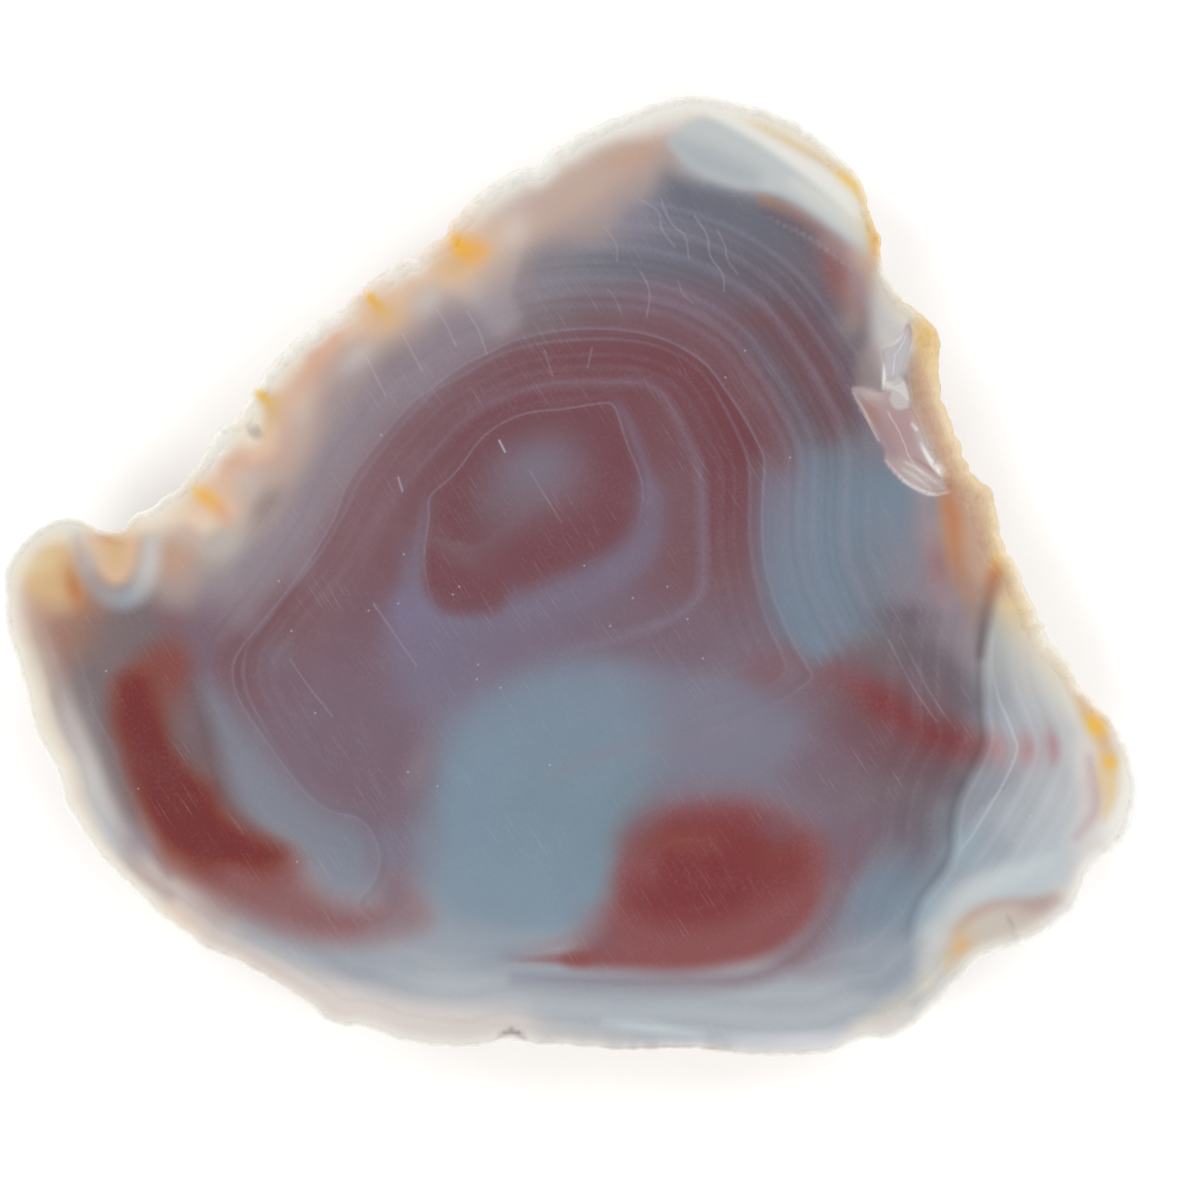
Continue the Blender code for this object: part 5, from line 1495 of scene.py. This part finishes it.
class Shading:
    """Short ways to add and join the nodes of a material."""

    def __init__(self, name):
        self.material = bpy.data.materials.new(name)
        self.material.use_nodes = True
        self.tree = self.material.node_tree
        self.shader = self.tree.nodes["Principled BSDF"]

    def add(self, kind, **inputs):
        """A node with some of its inputs set or joined. A name's underscores stand for spaces."""
        node = self.tree.nodes.new(kind)
        for name, value in inputs.items():
            self.put(node.inputs[name.replace("_", " ")], value)
        return node

    def put(self, socket, value):
        """Set a socket to a value or join it to an output."""
        if isinstance(value, bpy.types.NodeSocket):
            self.tree.links.new(value, socket)
        else:
            socket.default_value = value

    def sum(self, operation, *values, clamp=False):
        """The result of a calculation."""
        node = self.tree.nodes.new("ShaderNodeMath")
        node.operation = operation
        node.use_clamp = clamp
        for socket, value in zip(node.inputs, values):
            self.put(socket, value)
        return node.outputs[0]

    def mix(self, share, first, second):
        """Two colours mixed by a share. A mix node's sockets for colours are numbers 6, 7 and 2."""
        node = self.tree.nodes.new("ShaderNodeMix")
        node.data_type = "RGBA"
        self.put(node.inputs[0], share)
        self.put(node.inputs[6], first)
        self.put(node.inputs[7], second)
        return node.outputs[2]

    def attribute(self, name):
        """A colour or vector of the mesh."""
        node = self.tree.nodes.new("ShaderNodeAttribute")
        node.attribute_name = name
        return node

    def numbers(self, name):
        """The three numbers of a vector of the mesh."""
        return self.add("ShaderNodeSeparateXYZ", Vector=self.attribute(name).outputs["Vector"]).outputs

    def ramp(self, value, low, high, stops):
        """A curve through (place, height) stops over a range, with heights from 0 to 1."""
        node = self.tree.nodes.new("ShaderNodeValToRGB")
        self.put(node.inputs[0], self.sum("DIVIDE", self.sum("SUBTRACT", value, low), high - low))
        elements = node.color_ramp.elements
        for number, (place, height) in enumerate(stops):
            place = (place - low) / (high - low)
            element = elements[number] if number < 2 else elements.new(place)
            element.position = place
            element.color = (height, height, height, 1.0)
        return node.outputs[0]

    def noise(self, place, scale, detail, roughness=0.5):
        """Smooth noise from 0 to 1 at a place."""
        return self.add("ShaderNodeTexNoise", Vector=place, Scale=scale, Detail=detail,
                        Roughness=roughness).outputs[0]

    def mottle(self, place, kind, strength):
        """Noise that makes the stone paler and darker by turns."""
        return self.sum("MULTIPLY", self.sum("SUBTRACT", self.noise(place, *kind), 0.5), strength)

    def bands(self, distance, low, bands):
        """How much paler or, below 0, darker bands make the stone at a distance from their line."""
        stops = []
        for middle, half_width, amount in bands:
            stops += [(middle - half_width, 0.5), (middle, 0.5 + amount), (middle + half_width, 0.5)]
        return self.sum("SUBTRACT", self.ramp(distance, low, BAND_REACH, stops), 0.5)


def fine_bands(s, name, distance):
    """Fine uneven banding beside a line, at a distance from it."""
    fine = s.add("ShaderNodeTexNoise", Scale=FINE_BANDS, Detail=FINE_BAND_DETAIL)
    fine.noise_dimensions = "1D"
    s.put(fine.inputs["W"], distance)
    fine = s.sum("MULTIPLY", s.sum("SUBTRACT", fine.outputs[0], 0.5), FINE_BAND_STRENGTHS[name])
    inner, outer = FINE_BAND_REACH[name]
    stops = ((-inner - FINE_BAND_FADE, 0.0), (-inner, 1.0), (outer, 1.0), (outer + FINE_BAND_FADE, 0.0))
    return s.sum("MULTIPLY", fine, s.ramp(distance, -BAND_REACH, BAND_REACH, stops))


def line_bands(s):
    """How much white and how much lilac the bands beside the lines add to the stone."""
    white, lilac = 0.0, 0.0
    for name in LOOPS:
        distance, strength, area = s.numbers(name)
        lines = s.bands(distance, -BAND_REACH, BANDS[name])
        own = s.sum("MULTIPLY", s.sum("MULTIPLY_ADD", lines, strength, fine_bands(s, name, distance)), area)
        if name in LILAC_LINES:
            lilac = s.sum("ADD", lilac, own)
            white = s.sum("MULTIPLY_ADD", own, LILAC_LINE_SHINE, white)
        else:
            white = s.sum("ADD", white, own)
    return white, lilac


def polishing_marks(s, place):
    """Fine straight marks in patches, all at one slant."""
    turned = s.add("ShaderNodeMapping", Vector=place, Rotation=(0.0, 0.0, math.radians(HATCH_ANGLE)))
    drawn_out = s.add("ShaderNodeMapping", Vector=turned.outputs[0],
                      Scale=(HATCH_FINENESS / HATCH_LENGTH, HATCH_FINENESS, 1.0))
    marks = s.sum("SUBTRACT", s.noise(drawn_out.outputs[0], 1.0, 1.0), HATCH_LEVEL, clamp=True)
    patch = s.sum("MULTIPLY", s.noise(place, HATCH_PATCHES, 1.0), HATCH_PATCH_CONTRAST)
    patch = s.sum("SUBTRACT", patch, HATCH_PATCH_LEVEL, clamp=True)
    return s.sum("MULTIPLY", s.sum("MULTIPLY", marks, HATCH_STRENGTH), patch)


def scratches(s):
    """The drawn scratches and specks."""
    far, strength, _ = s.numbers("scratch")
    mark = s.sum("SUBTRACT", 1.0, s.sum("DIVIDE", far, SCRATCH_WIDTH), clamp=True)
    return s.sum("MULTIPLY", mark, strength)


def agate_material():
    """Banded agate with a polished face, a glassy scar and a rough skin."""
    s = Shading("agate")
    skin, scar, depth = s.numbers("surface")
    skin, scar = (s.sum("MULTIPLY_ADD", far, 1.0 / EDGE_BLEND, 0.5, clamp=True) for far in (skin, scar))
    polished = s.sum("SUBTRACT", 1.0, s.sum("MAXIMUM", skin, scar), clamp=True)
    place = s.add("ShaderNodeTexCoord").outputs["Object"]

    # what the polished face shows, and then what shows everywhere or on the skin
    white, lilac = line_bands(s)
    skin_bands = s.sum("MULTIPLY", s.bands(depth, 0.0, SKIN_BANDS), s.numbers("skin_bands")[0])
    for part in (skin_bands, scratches(s), polishing_marks(s, place)):
        white = s.sum("ADD", white, part)
    white = s.sum("MULTIPLY", white, polished)
    lilac = s.sum("MULTIPLY", lilac, polished)
    crust_mottle = s.sum("MULTIPLY", s.mottle(place, CRUST_MOTTLE, CRUST_MOTTLE_STRENGTH), skin)
    for part in (s.mottle(place, CLOUD, CLOUD_STRENGTH), s.mottle(place, GRAIN, GRAIN_STRENGTH),
                 crust_mottle):
        white = s.sum("ADD", white, part)

    # amounts below 0 darken the stone
    colour = s.attribute("stone_colour").outputs["Color"]
    shade = (*to_albedo(tone("shade")), 1.0)
    for amount, name in ((lilac, "lilac_veil"), (white, "veil")):
        veil = (*to_albedo(tone(name)), 1.0)
        colour = s.mix(s.sum("MAXIMUM", amount, 0.0, clamp=True), colour, veil)
        colour = s.mix(s.sum("MAXIMUM", s.sum("MULTIPLY", amount, -1.0), 0.0, clamp=True), colour, shade)
    s.put(s.shader.inputs["Base Color"], colour)

    dull = s.sum("ADD", s.sum("MULTIPLY", skin, SKIN_DULLNESS), s.sum("MULTIPLY", scar, SCAR_DULLNESS))
    s.put(s.shader.inputs["Roughness"], s.sum("ADD", dull, POLISH_ROUGHNESS))
    s.shader.inputs["IOR"].default_value = AGATE_IOR
    s.shader.inputs["Specular IOR Level"].default_value = AGATE_SPECULAR
    s.shader.inputs["Subsurface Weight"].default_value = GLOW_SHARE
    s.shader.inputs["Subsurface Scale"].default_value = GLOW_DEPTH * MM
    bump = s.add("ShaderNodeBump", Height=s.noise(place, *CRUST_BUMP),
                 Strength=s.sum("MULTIPLY", skin, CRUST_BUMP_STRENGTH), Distance=CRUST_BUMP_HEIGHT * MM)
    s.put(s.shader.inputs["Normal"], bump.outputs[0])
    return s.material


def add_lamp(name, place, aim):
    """A soft square light at a place, turned to a point, both in millimetres."""
    data = bpy.data.lights.new(name, "AREA")
    data.shape = "SQUARE"
    data.size = LAMP_SIZE * MM
    data.energy = LAMP_WATTS
    lamp = bpy.data.objects.new(name, data)
    bpy.context.scene.collection.objects.link(lamp)
    lamp.location = Vector(place) * MM
    lamp.rotation_euler = (Vector(aim) - Vector(place)).to_track_quat("-Z", "Y").to_euler()


def add_lights():
    """A soft sky, and soft lights round the camera."""
    world = bpy.data.worlds.new("studio")
    world.use_nodes = True
    sky = world.node_tree.nodes["Background"]
    sky.inputs["Color"].default_value = WHITE
    sky.inputs["Strength"].default_value = SKY_STRENGTH
    bpy.context.scene.world = world
    for number in range(LAMP_COUNT):
        angle = math.radians(LAMP_FIRST_ANGLE + 360.0 * number / LAMP_COUNT)
        place = (LAMP_REACH * math.cos(angle), LAMP_REACH * math.sin(angle), LAMP_HEIGHT)
        add_lamp(f"lamp_{number}", place, (0.0, 0.0, THICKNESS))


def add_floor():
    """A plain pale floor under the stone."""
    half = FLOOR_SIZE / 2.0 * MM
    mesh = bpy.data.meshes.new("floor")
    mesh.from_pydata([(-half, -half, 0.0), (half, -half, 0.0), (half, half, 0.0), (-half, half, 0.0)],
                     [], [(0, 1, 2, 3)])
    material = bpy.data.materials.new("floor")
    material.use_nodes = True
    shader = material.node_tree.nodes["Principled BSDF"]
    shader.inputs["Base Color"].default_value = FLOOR_COLOUR
    shader.inputs["Roughness"].default_value = FLOOR_ROUGHNESS
    mesh.materials.append(material)
    floor = bpy.data.objects.new("floor", mesh)
    bpy.context.scene.collection.objects.link(floor)


def add_camera():
    """A camera that looks straight down on the face, framed as the picture is."""
    data = bpy.data.cameras.new("camera")
    camera = bpy.data.objects.new("camera", data)
    bpy.context.scene.collection.objects.link(camera)
    middle = (np.array(PICTURE) / 2.0 - np.array(PICTURE_ORIGIN)) / PIXELS_PER_MM
    camera.location = Vector((middle[0], -middle[1], THICKNESS + CAMERA_DISTANCE)) * MM
    tall = max(PICTURE) / PIXELS_PER_MM
    data.lens = data.sensor_width * (CAMERA_DISTANCE + RIM_DEPTH) / tall
    bpy.context.scene.camera = camera


def main():
    """Build and paint the stone, and set up the studio."""
    stone = Stone()
    mesh, x, y = stone_mesh(stone)
    paint_stone(mesh, stone, x, y)
    bake_layout(mesh, x, y)
    mesh.materials.append(agate_material())
    piece = bpy.data.objects.new("agate_stone", mesh)
    bpy.context.scene.collection.objects.link(piece)
    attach(piece, "root")
    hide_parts(NODE)
    add_lights()
    add_floor()
    add_camera()
    bpy.context.scene.view_settings.view_transform = "Standard"


main()
